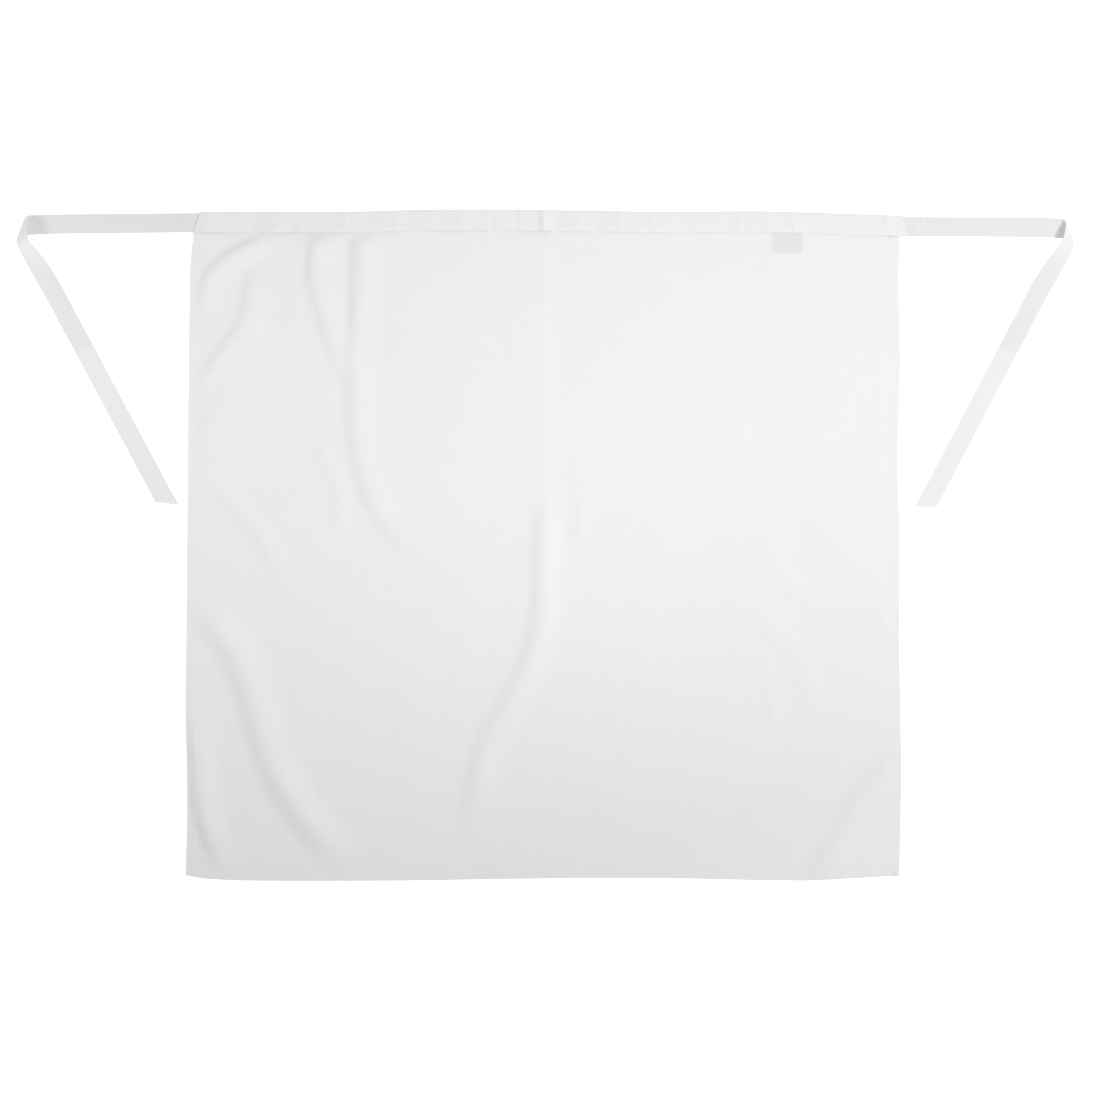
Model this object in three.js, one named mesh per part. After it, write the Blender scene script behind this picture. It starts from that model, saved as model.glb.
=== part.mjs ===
// A waist apron lying on a floor, front side up: a wide panel of white cloth hemmed at its sides
// and bottom, a folded waistband over its top edge, a tape tie sewn into each end of the band,
// and a small blank care label behind the panel.
// Millimetres. X runs along the waistband, Y up the apron and Z up off the floor. The origin is
// on the floor, at the middle of the cloth.
import * as THREE from "three";

const { clamp, degToRad, lerp, smoothstep } = THREE.MathUtils;

// Driving dimensions
const APRON_WIDTH = 914;
const APRON_LENGTH = 860;
const CLOTH = 1.2;
const GAP = 0.3;
const SIDE_HEM = 11;
const BOTTOM_HEM = 8;
const HEM_EXTRA = 0.6;
const HEM_STEP = 1.5;
const FOLD_HEIGHT = 10;

const TIE_WIDTH = 25;
const TIE_THICKNESS = 1.2;
const TIE_SEAM = 13;
const TIE_SETTLE = 30;

const BAND_END_SLANT = 8;
const BAND_LEFT_INSET = 8;
const BAND_RIGHT_OVERHANG = 10;
const BAND_SLOPE = 30;

const LABEL_WIDTH = 38;
const LABEL_DROP = 26;
const LABEL_THICKNESS = 1;
const LABEL_ACROSS = 0.842;
const LABEL_EASE = 6;
const LABEL_SLOPE = 25;

// Each tie runs straight out from the band, turns over at its corner and falls back to its tip.
// cut is how far the tip's inner corner passes its outer one.
const LEFT_TIE = { side: -1, run: 214, sink: 1.5, fall: 326, lean: 28.2, cut: 17.8 };
const RIGHT_TIE = { side: 1, run: 200, sink: 0.9, fall: 322, lean: 27.7, cut: 12.5 };

// Facets. The panel's columns are fine over its left folds and its centre fold, whose edges are
// shares of its width.
const LEFT_FOLDS_END = 0.38;
const CENTRE_FOLD_START = 0.46;
const CENTRE_FOLD_END = 0.56;
const FINE_COLUMN = 11;
const COARSE_COLUMN = 30;
const PANEL_ROW = 29;
const BAND_COLUMN = 36;
const BAND_FOLD_STEPS = 4;
const LABEL_COLUMNS = 2;
const TIE_COLUMNS = 3;
const TIE_RUN_STEPS = 6;
const TIE_SETTLE_STEPS = 3;
const TIE_CORNER_STEPS = 2;
const TIE_FALL_STEPS = 14;
const FOLD_SAMPLES = 40;
const FOLD_FADE = 0.25;
const BAND_SLOPE_STEPS = 3;
const HAIR = 1e-3;

// Edges of the cloth: at is a share of the edge's length, out a share of the apron's width by
// which the edge lies outside (or, below zero, inside) the straight line.
const TOP_EDGE = [
  { at: 0, out: -0.0038 },
  { at: 0.07, out: -0.0034 },
  { at: 0.24, out: -0.0027 },
  { at: 0.31, out: -0.0007 },
  { at: 0.39, out: 0 },
  { at: 0.46, out: -0.0004 },
  { at: 0.6, out: -0.0025 },
  { at: 0.68, out: -0.0032 },
  { at: 0.78, out: -0.0024 },
  { at: 0.85, out: -0.0039 },
  { at: 1, out: -0.009 },
];
const LEFT_EDGE = [
  { at: 0, out: -0.0088 },
  { at: 0.045, out: -0.0046 },
  { at: 0.11, out: -0.0031 },
  { at: 0.26, out: -0.0015 },
  { at: 0.45, out: 0 },
  { at: 0.63, out: 0.0013 },
  { at: 0.73, out: 0.0025 },
  { at: 0.88, out: 0 },
  { at: 1, out: 0.0022 },
];
const RIGHT_EDGE = [
  { at: 0, out: -0.0006 },
  { at: 0.07, out: -0.0021 },
  { at: 0.2, out: 0 },
  { at: 0.35, out: -0.0035 },
  { at: 0.48, out: -0.0006 },
  { at: 0.62, out: -0.001 },
  { at: 0.73, out: 0.0001 },
  { at: 0.85, out: 0.0015 },
  { at: 1, out: -0.0012 },
];
const BOTTOM_EDGE = [
  { at: 0, out: -0.0075 },
  { at: 0.03, out: -0.0026 },
  { at: 0.09, out: 0 },
  { at: 0.3, out: 0 },
  { at: 0.43, out: -0.002 },
  { at: 0.56, out: -0.0036 },
  { at: 0.68, out: -0.0033 },
  { at: 0.86, out: 0 },
  { at: 0.93, out: -0.003 },
  { at: 1, out: -0.0068 },
];

// Folds of the panel: path runs down the crest, each point a share of the width from the left
// and a share of the length below the band. height is a share of the fold height, and steep and
// gentle are the reaches of its left and right flanks, as shares of the width.
const FOLDS = [
  { path: [[0.24, -0.03], [0.238, 0.1], [0.242, 0.3], [0.262, 0.4], [0.3, 0.47], [0.36, 0.55]],
    height: 0.8, steep: 0.022, gentle: 0.036 },
  { path: [[0.184, -0.01], [0.196, 0.09], [0.216, 0.16], [0.231, 0.235]],
    height: 0.5, steep: 0.018, gentle: 0.024 },
  { path: [[0.193, 0.32], [0.212, 0.383], [0.231, 0.46]],
    height: 0.25, steep: 0.022, gentle: 0.022 },
  { path: [[0.105, 0.015], [0.067, 0.034], [0.042, 0.06], [0.032, 0.104]],
    height: 0.25, steep: 0.018, gentle: 0.022 },
  { path: [[0.091, 0.057], [0.086, 0.143], [0.06, 0.19], [-0.01, 0.25]],
    height: 0.45, steep: 0.02, gentle: 0.032 },
  { path: [[0.035, 0.25], [0.017, 0.3], [-0.01, 0.36]],
    height: 0.2, steep: 0.022, gentle: 0.026 },
  { path: [[-0.02, 0.37], [0.055, 0.445], [0.097, 0.5]],
    height: 0.25, steep: 0.022, gentle: 0.026 },
  { path: [[-0.01, 0.52], [0.063, 0.654], [0.114, 0.789], [0.142, 0.864], [0.175, 0.926],
    [0.25, 1.05]],
    height: 1, steep: 0.032, gentle: 0.052 },
  { path: [[0.022, 0.778], [0.028, 0.855], [0.042, 0.913], [0.069, 0.95], [0.105, 0.972]],
    height: 0.3, steep: 0.02, gentle: 0.03 },
  { path: [[0.502, 0.29], [0.502, 0.445], [0.488, 0.616], [0.467, 0.7], [0.434, 0.763],
    [0.41, 0.825], [0.4, 0.95]],
    height: 0.6, steep: 0.022, gentle: 0.034 },
  { path: [[0.551, 0.34], [0.547, 0.52]],
    height: 0.12, steep: 0.02, gentle: 0.02 },
  { path: [[0.86, 0.44], [0.926, 0.484], [0.99, 0.54]],
    height: 0.15, steep: 0.03, gentle: 0.04 },
  { path: [[0.8, 0.45], [0.841, 0.522], [0.876, 0.56], [0.97, 0.57]],
    height: 0.15, steep: 0.03, gentle: 0.04 },
  { path: [[0.81, 0.6], [0.855, 0.662], [0.88, 0.75]],
    height: 0.15, steep: 0.03, gentle: 0.04 },
  { path: [[1.02, 0.78], [0.95, 0.833], [0.915, 0.887], [0.885, 1.03]],
    height: 0.3, steep: 0.04, gentle: 0.04 },
];

// The tie's turned corner: the places of its inner and outer edge, as shares of its width out
// from the corner, down from the run's upper edge, and up off the floor.
const TIE_CORNER = [
  { inner: [-1.72, 0, 0], outer: [-1.72, 1, 0] },
  { inner: [-0.9, 0.01, 0], outer: [-0.74, 1.02, 0] },
  { inner: [-0.385, 0.026, 0], outer: [-0.18, 1.06, 0] },
  { inner: [-0.14, 0.05, 0.03], outer: [0.18, 1.09, 0.02] },
  { inner: [-0.015, 0.09, 0.11], outer: [0.385, 1.14, 0.08] },
  { inner: [0.04, 0.17, 0.24], outer: [0.477, 1.22, 0.18] },
  { inner: [0.046, 0.385, 0.44], outer: [0.477, 1.33, 0.24] },
  { inner: [-0.02, 0.69, 0.63], outer: [0.467, 1.43, 0.24] },
  { inner: [-0.108, 1.026, 0.75], outer: [0.44, 1.55, 0.22] },
  { inner: [-0.2, 1.364, 0.72], outer: [0.395, 1.73, 0.18] },
  { inner: [-0.436, 1.667, 0.56], outer: [0.287, 1.974, 0.12] },
  { inner: [-0.805, 2.1, 0.32], outer: [0.05, 2.395, 0.045] },
  { inner: [-1.154, 2.6, 0.1], outer: [-0.25, 2.98, 0.005] },
  { inner: [-1.651, 3.395, 0], outer: [-0.774, 3.872, 0] },
];

// Sizes that follow from the driving ones
const SLOT = Math.max(CLOTH, TIE_THICKNESS) + 2 * GAP;
const BAND_HEIGHT = CLOTH + GAP + TIE_WIDTH + GAP;
const BAND_THICKNESS = 2 * CLOTH + SLOT;
const LEFT = -APRON_WIDTH / 2;
const RIGHT = APRON_WIDTH / 2;
const TOP = APRON_LENGTH / 2;
const BOTTOM = -APRON_LENGTH / 2;
const BAND_LEFT = LEFT + BAND_LEFT_INSET;
const BAND_RIGHT = RIGHT + BAND_RIGHT_OVERHANG;
const TONGUE_START = BAND_END_SLANT + TIE_SEAM + GAP;
const PANEL_LIFT = CLOTH + GAP;
const PANEL_DROP = APRON_LENGTH - BAND_HEIGHT - GAP;

// A smooth curve through one column of a table whose first column is a share from 0 to 1.
function curveOf(rows) {
  const slope = (i) => {
    const before = rows[Math.max(i - 1, 0)];
    const after = rows[Math.min(i + 1, rows.length - 1)];
    return (after.out - before.out) / (after.at - before.at);
  };
  return (share) => {
    const at = clamp(share, 0, 1);
    const last = rows.length - 2;
    const i = clamp(rows.findIndex((row) => row.at > at) - 1, 0, last);
    const k = at >= 1 ? last : i;
    const span = rows[k + 1].at - rows[k].at;
    const t = (at - rows[k].at) / span;
    const bend = t * t * (3 - 2 * t);
    const pull = span * t * (1 - t) * ((1 - t) * slope(k) - t * slope(k + 1));
    return APRON_WIDTH * (lerp(rows[k].out, rows[k + 1].out, bend) + pull);
  };
}

const topOut = curveOf(TOP_EDGE);
const leftOut = curveOf(LEFT_EDGE);
const rightOut = curveOf(RIGHT_EDGE);
const bottomOut = curveOf(BOTTOM_EDGE);

// The height of the waistband's upper edge at a place along it.
function bandTop(x) {
  return TOP + topOut((x - BAND_LEFT) / (BAND_RIGHT - BAND_LEFT));
}

// A wall of cloth as one closed body: face(column, row) gives the wall's two skins at each
// grid point, and isCloth says which cells of the grid are there.
function clothGeometry(columns, rows, face, isCloth = () => true) {
  const points = [];
  const places = new Map();
  const corner = (skin, i, j) => {
    const key = `${skin} ${i} ${j}`;
    if (!places.has(key)) {
      places.set(key, points.length / 3);
      points.push(...face(i, j)[skin].toArray());
    }
    return places.get(key);
  };
  const triangles = [];
  const quad = (a, b, c, d) => triangles.push(a, b, c, a, c, d);
  const there = (i, j) => i >= 0 && j >= 0 && i < columns && j < rows && isCloth(i, j);
  for (let i = 0; i < columns; i++) {
    for (let j = 0; j < rows; j++) {
      if (!there(i, j)) continue;
      const ring = [[i, j], [i, j + 1], [i + 1, j + 1], [i + 1, j]];
      const beside = [there(i - 1, j), there(i, j + 1), there(i + 1, j), there(i, j - 1)];
      quad(...ring.map(([a, b]) => corner("over", a, b)));
      quad(...ring.map(([a, b]) => corner("under", a, b)).reverse());
      ring.forEach(([a, b], side) => {
        if (beside[side]) return;
        const [c, d] = ring[(side + 1) % ring.length];
        quad(corner("over", a, b), corner("under", a, b),
          corner("under", c, d), corner("over", c, d));
      });
    }
  }
  const geometry = new THREE.BufferGeometry();
  geometry.setAttribute("position", new THREE.Float32BufferAttribute(points, 3));
  geometry.setIndex(enclosedVolume(points, triangles) < 0 ? triangles.reverse() : triangles);
  geometry.computeVertexNormals();
  return geometry;
}

function enclosedVolume(points, triangles) {
  const [a, b, c] = [0, 1, 2].map(() => new THREE.Vector3());
  let volume = 0;
  for (let t = 0; t < triangles.length; t += 3) {
    a.fromArray(points, 3 * triangles[t]);
    b.fromArray(points, 3 * triangles[t + 1]);
    c.fromArray(points, 3 * triangles[t + 2]);
    volume += a.dot(b.cross(c)) / 6;
  }
  return volume;
}

// Places from each stop to the next in equal steps no longer than the stop's own spacing.
function gridLines(start, stops) {
  const lines = [start];
  for (const { to, spacing } of stops) {
    const from = lines[lines.length - 1];
    const steps = Math.max(1, Math.ceil((to - from - HAIR) / spacing));
    for (let k = 1; k <= steps; k++) lines.push(lerp(from, to, k / steps));
  }
  return lines;
}

function panelPlace(across, down) {
  const share = (across - LEFT) / APRON_WIDTH;
  const fall = clamp(down / PANEL_DROP, 0, 1);
  const x = lerp(LEFT - leftOut(fall), RIGHT + rightOut(fall), share);
  const mouth = bandTop(x) - BAND_HEIGHT - GAP;
  const foot = BOTTOM - bottomOut(share);
  const tongue = bandTop(x) - CLOTH - GAP;
  return new THREE.Vector2(x, down < 0 ? tongue : lerp(mouth, foot, fall));
}

// The crests of the folds as chains of places on the panel.
const creases = FOLDS.map(({ path, ...fold }) => {
  const stops = path.map(([across, down]) =>
    new THREE.Vector3(LEFT + across * APRON_WIDTH, TOP - BAND_HEIGHT - down * PANEL_DROP, 0));
  return { ...fold, crest: new THREE.CatmullRomCurve3(stops).getPoints(FOLD_SAMPLES) };
});

// How far one fold lifts the cloth at a place: full at its crest, fading out along both flanks
// and towards both ends.
function foldLift({ crest, height, steep, gentle }, place) {
  let nearest = 0;
  let reach = Infinity;
  crest.forEach((point, k) => {
    const away = Math.hypot(place.x - point.x, place.y - point.y);
    if (away < reach) [nearest, reach] = [k, away];
  });
  const before = crest[Math.max(nearest - 1, 0)];
  const after = crest[Math.min(nearest + 1, FOLD_SAMPLES)];
  const heading = new THREE.Vector2(after.x - before.x, after.y - before.y);
  const offset = new THREE.Vector2(place.x - crest[nearest].x, place.y - crest[nearest].y);
  const flank = APRON_WIDTH * (heading.cross(offset) < 0 ? steep : gentle);
  const bell = (1 + Math.cos(Math.PI * Math.min(reach / flank, 1))) / 2;
  const share = nearest / FOLD_SAMPLES;
  const ends = smoothstep(share, 0, FOLD_FADE) * smoothstep(1 - share, 0, FOLD_FADE);
  return FOLD_HEIGHT * height * bell * ends;
}

// The label hangs from just below the waistband's back wall, along the wall's lower edge.
const labelX = LEFT + LABEL_ACROSS * APRON_WIDTH;
const labelTop = (x) => bandTop(x) - BAND_HEIGHT - GAP;

function labelLift(place) {
  const beside = Math.abs(place.x - labelX) - LABEL_WIDTH / 2 - LABEL_EASE;
  const below = labelTop(place.x) - LABEL_DROP - LABEL_EASE - place.y;
  const away = Math.hypot(Math.max(beside, 0), Math.max(below, 0));
  return (LABEL_THICKNESS + GAP) * (1 - smoothstep(away, 0, LABEL_SLOPE));
}

// The height of the panel's underside: level with the waistband's slot at the top, over the
// label where it lies, and elsewhere on the floor but for the folds.
function panelLift(place) {
  const below = bandTop(place.x) - BAND_HEIGHT - place.y;
  const leaving = smoothstep(below, 0, BAND_SLOPE);
  const folds = creases.reduce((sum, crease) => sum + foldLift(crease, place), 0);
  return Math.max(lerp(PANEL_LIFT, 0, leaving), labelLift(place)) + leaving * folds;
}

function makePanel() {
  const labelReach = LABEL_WIDTH / 2 + LABEL_EASE;
  const acrossLines = gridLines(LEFT, [
    { to: LEFT + SIDE_HEM, spacing: SIDE_HEM },
    { to: LEFT + SIDE_HEM + HEM_STEP, spacing: HEM_STEP },
    { to: LEFT + BAND_LEFT_INSET + TONGUE_START, spacing: FINE_COLUMN },
    { to: LEFT + LEFT_FOLDS_END * APRON_WIDTH, spacing: FINE_COLUMN },
    { to: LEFT + CENTRE_FOLD_START * APRON_WIDTH, spacing: COARSE_COLUMN },
    { to: LEFT + CENTRE_FOLD_END * APRON_WIDTH, spacing: FINE_COLUMN },
    { to: labelX - labelReach, spacing: COARSE_COLUMN },
    { to: labelX + labelReach, spacing: COARSE_COLUMN },
    { to: RIGHT - TONGUE_START, spacing: COARSE_COLUMN },
    { to: RIGHT - SIDE_HEM - HEM_STEP, spacing: FINE_COLUMN },
    { to: RIGHT - SIDE_HEM, spacing: HEM_STEP },
    { to: RIGHT, spacing: SIDE_HEM },
  ]);
  const downLines = gridLines(0, [
    { to: BAND_SLOPE, spacing: BAND_SLOPE / BAND_SLOPE_STEPS },
    { to: LABEL_DROP + LABEL_EASE, spacing: PANEL_ROW },
    { to: PANEL_DROP - BOTTOM_HEM - HEM_STEP, spacing: PANEL_ROW },
    { to: PANEL_DROP - BOTTOM_HEM, spacing: HEM_STEP },
    { to: PANEL_DROP, spacing: BOTTOM_HEM },
  ]);
  downLines.unshift(-BAND_HEIGHT);
  const isHem = (across, down) =>
    down > 0 && (across - LEFT < SIDE_HEM + HAIR || RIGHT - across < SIDE_HEM + HAIR ||
      PANEL_DROP - down < BOTTOM_HEM + HAIR);
  const face = (i, j) => {
    const place = panelPlace(acrossLines[i], downLines[j]);
    const low = panelLift(place);
    const high = low + CLOTH + (isHem(acrossLines[i], downLines[j]) ? HEM_EXTRA : 0);
    return {
      over: new THREE.Vector3(place.x, place.y, high),
      under: new THREE.Vector3(place.x, place.y, low),
    };
  };
  const tongueLeft = LEFT + BAND_LEFT_INSET + TONGUE_START - HAIR;
  const tongueRight = RIGHT - TONGUE_START + HAIR;
  const isCloth = (i, j) =>
    j > 0 || (acrossLines[i] > tongueLeft && acrossLines[i + 1] < tongueRight);
  return clothGeometry(acrossLines.length - 1, downLines.length - 1, face, isCloth);
}

// The waistband is one strip: up the front, over the fold at the top and down the back.
function makeWaistband() {
  const lines = gridLines(BAND_LEFT, [{ to: BAND_RIGHT, spacing: BAND_COLUMN }]);
  const middle = BAND_THICKNESS / 2;
  const outside = [{ down: BAND_HEIGHT, up: BAND_THICKNESS }];
  const inside = [{ down: BAND_HEIGHT, up: BAND_THICKNESS - CLOTH }];
  for (let k = 0; k <= BAND_FOLD_STEPS; k++) {
    const turn = Math.PI * (k / BAND_FOLD_STEPS - 0.5);
    const bulge = CLOTH * Math.cos(turn);
    outside.push({ down: CLOTH - bulge, up: middle - middle * Math.sin(turn) });
    inside.push({ down: CLOTH, up: middle - (SLOT / 2) * Math.sin(turn) });
  }
  outside.push({ down: BAND_HEIGHT, up: 0 });
  inside.push({ down: BAND_HEIGHT, up: CLOTH });
  const place = (x, { down, up }) => {
    const share = (x - BAND_LEFT) / (BAND_RIGHT - BAND_LEFT);
    const slant = BAND_END_SLANT * (1 - down / BAND_HEIGHT);
    return new THREE.Vector3(x + slant * (1 - 2 * share), bandTop(x) - down, up);
  };
  const face = (i, j) => ({
    over: place(lines[i], outside[j]),
    under: place(lines[i], inside[j]),
  });
  return clothGeometry(lines.length - 1, outside.length - 1, face);
}

// The tie's two edges at each station, from its end inside the band to its tip.
function tieStations({ side, run, sink, fall, lean, cut }) {
  const bandEnd = side < 0 ? BAND_LEFT : BAND_RIGHT;
  const upperEdge = bandTop(bandEnd) - CLOTH - GAP;
  const stations = [];
  const add = (out, inner, outer) => stations.push({
    inner: new THREE.Vector3(bandEnd + side * (out + inner[0]), upperEdge - inner[1], inner[2]),
    outer: new THREE.Vector3(bandEnd + side * (out + outer[0]), upperEdge - outer[1], outer[2]),
  });
  const level = (out, drop, up) => add(out, [0, drop, up], [0, drop + TIE_WIDTH, up]);

  const seam = BAND_END_SLANT + TIE_SEAM;
  level(-seam, bandTop(bandEnd) - bandTop(bandEnd - side * seam), PANEL_LIFT);
  for (let k = 0; k <= TIE_SETTLE_STEPS; k++) {
    const share = k / TIE_SETTLE_STEPS;
    level(share * TIE_SETTLE, 0, PANEL_LIFT * (1 - smoothstep(share, 0, 1)));
  }
  const cornerStart = run + TIE_CORNER[0].inner[0] * TIE_WIDTH;
  for (let k = 1; k < TIE_RUN_STEPS; k++) {
    const share = k / TIE_RUN_STEPS;
    level(lerp(TIE_SETTLE, cornerStart, share), sink * share, 0);
  }

  const edgeCurve = (edge) => new THREE.CatmullRomCurve3(
    TIE_CORNER.map((row) => new THREE.Vector3(...row[edge]).multiplyScalar(TIE_WIDTH)));
  const innerCurve = edgeCurve("inner");
  const outerCurve = edgeCurve("outer");
  const steps = (TIE_CORNER.length - 1) * TIE_CORNER_STEPS;
  for (let k = 0; k <= steps; k++) {
    const [inner, outer] = [innerCurve, outerCurve].map((curve) => curve.getPoint(k / steps));
    inner.y += sink;
    outer.y += sink;
    add(run, inner.toArray(), outer.toArray());
  }

  const last = stations[stations.length - 1];
  const heading = new THREE.Vector3(-side * Math.sin(degToRad(lean)), -Math.cos(degToRad(lean)), 0);
  for (let k = 1; k <= TIE_FALL_STEPS; k++) {
    const share = k / TIE_FALL_STEPS;
    const inner = last.inner.clone().addScaledVector(heading, share * fall);
    const outer = last.outer.clone().addScaledVector(heading, share * (fall - cut));
    stations.push({ inner, outer });
  }
  return stations;
}

function makeTie(tie) {
  const stations = tieStations(tie);
  const face = (i, j) => {
    const { inner, outer } = stations[j];
    const before = stations[Math.max(j - 1, 0)];
    const after = stations[Math.min(j + 1, stations.length - 1)];
    const share = i / TIE_COLUMNS;
    const back = new THREE.Vector3().lerpVectors(before.inner, before.outer, share);
    const ahead = new THREE.Vector3().lerpVectors(after.inner, after.outer, share);
    const across = new THREE.Vector3().subVectors(outer, inner);
    const normal = ahead.sub(back).cross(across).normalize();
    const middle = new THREE.Vector3().lerpVectors(inner, outer, share);
    middle.z += TIE_THICKNESS / 2;
    return {
      over: middle.clone().addScaledVector(normal, TIE_THICKNESS / 2),
      under: middle.clone().addScaledVector(normal, -TIE_THICKNESS / 2),
    };
  };
  return clothGeometry(TIE_COLUMNS, stations.length - 1, face);
}

function makeLabel() {
  const face = (i, j) => {
    const x = labelX + (i / LABEL_COLUMNS - 0.5) * LABEL_WIDTH;
    const y = labelTop(x) - j * LABEL_DROP;
    return {
      over: new THREE.Vector3(x, y, LABEL_THICKNESS),
      under: new THREE.Vector3(x, y, 0),
    };
  };
  return clothGeometry(LABEL_COLUMNS, 1, face);
}

function fabric(color, roughness) {
  return new THREE.MeshStandardMaterial({ color, roughness, metalness: 0 });
}

const apron = new THREE.Group();
const pieces = {
  panel: [makePanel(), fabric(0xf0f0f1, 0.85)],
  waistband: [makeWaistband(), fabric(0xf1f1f2, 0.85)],
  tie_left: [makeTie(LEFT_TIE), fabric(0xececee, 0.8)],
  tie_right: [makeTie(RIGHT_TIE), fabric(0xececee, 0.8)],
  care_label: [makeLabel(), fabric(0xe6e6e8, 0.6)],
};
for (const [name, [geometry, material]] of Object.entries(pieces)) {
  const mesh = new THREE.Mesh(geometry, material);
  mesh.name = name;
  apron.add(mesh);
}

export default apron;
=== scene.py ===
"""A white waist apron lying front side up on a pale floor, in metres.

X runs along the waistband, Y up the apron and Z up off the floor. The origin is on the floor, at
the middle of the cloth. Every size that the frame knows is read from it.
"""

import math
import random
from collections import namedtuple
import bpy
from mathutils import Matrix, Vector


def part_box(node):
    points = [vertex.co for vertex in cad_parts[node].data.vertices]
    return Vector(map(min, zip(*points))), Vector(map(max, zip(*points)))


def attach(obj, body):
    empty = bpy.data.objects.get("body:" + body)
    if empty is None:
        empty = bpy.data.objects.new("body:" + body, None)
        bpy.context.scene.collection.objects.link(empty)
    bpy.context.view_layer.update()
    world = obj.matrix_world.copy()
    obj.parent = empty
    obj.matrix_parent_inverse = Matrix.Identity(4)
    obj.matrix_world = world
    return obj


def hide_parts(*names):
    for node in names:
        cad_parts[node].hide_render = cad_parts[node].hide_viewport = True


bl_info = {
    "name": "Waist Apron",
    "version": (1, 0, 0),
    "blender": (4, 5, 0),
    "location": "View3D > Sidebar > Apron",
    "description": "Builds a white waist apron with its ties, stitches and studio",
    "category": "Add Mesh",
}

import bpy
import numpy as np
from bpy.props import FloatProperty, FloatVectorProperty, IntProperty, PointerProperty
from mathutils import Vector, noise

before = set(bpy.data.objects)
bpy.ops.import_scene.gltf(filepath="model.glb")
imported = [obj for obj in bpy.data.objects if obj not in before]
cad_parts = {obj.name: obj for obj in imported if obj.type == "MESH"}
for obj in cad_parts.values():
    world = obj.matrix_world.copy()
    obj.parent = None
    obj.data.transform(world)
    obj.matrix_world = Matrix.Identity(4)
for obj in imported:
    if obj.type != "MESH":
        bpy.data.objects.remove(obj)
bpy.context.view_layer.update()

BODY = "root"

# The photograph's frame: its width in pixels, the pixels in a metre, and the apron's middle in it.
PHOTO_PIXELS = 1100
PIXELS_PER_METRE = 780.1
APRON_MIDDLE_X_PX = 543.75
APRON_MIDDLE_Y_PX = 544.9

# Edges of the cloth: a share of the edge's length, and how far the edge lies outside (or, below
# zero, inside) the straight line there, as a share of the apron's width.
TOP_EDGE = (
    (0, -0.0038), (0.07, -0.0034), (0.24, -0.0027), (0.31, -0.0007), (0.39, 0), (0.46, -0.0004),
    (0.6, -0.0025), (0.68, -0.0032), (0.78, -0.0024), (0.85, -0.0039), (1, -0.009),
)
LEFT_EDGE = (
    (0, -0.0088), (0.045, -0.0046), (0.11, -0.0031), (0.26, -0.0015), (0.45, 0), (0.63, 0.0013),
    (0.73, 0.0025), (0.88, 0), (1, 0.0022),
)
RIGHT_EDGE = (
    (0, -0.0006), (0.07, -0.0021), (0.2, 0), (0.35, -0.0035), (0.48, -0.0006), (0.62, -0.001),
    (0.73, 0.0001), (0.85, 0.0015), (1, -0.0012),
)
BOTTOM_EDGE = (
    (0, -0.0075), (0.03, -0.0026), (0.09, 0), (0.3, 0), (0.43, -0.002), (0.56, -0.0036),
    (0.68, -0.0033), (0.86, 0), (0.93, -0.003), (1, -0.0068),
)

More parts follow.
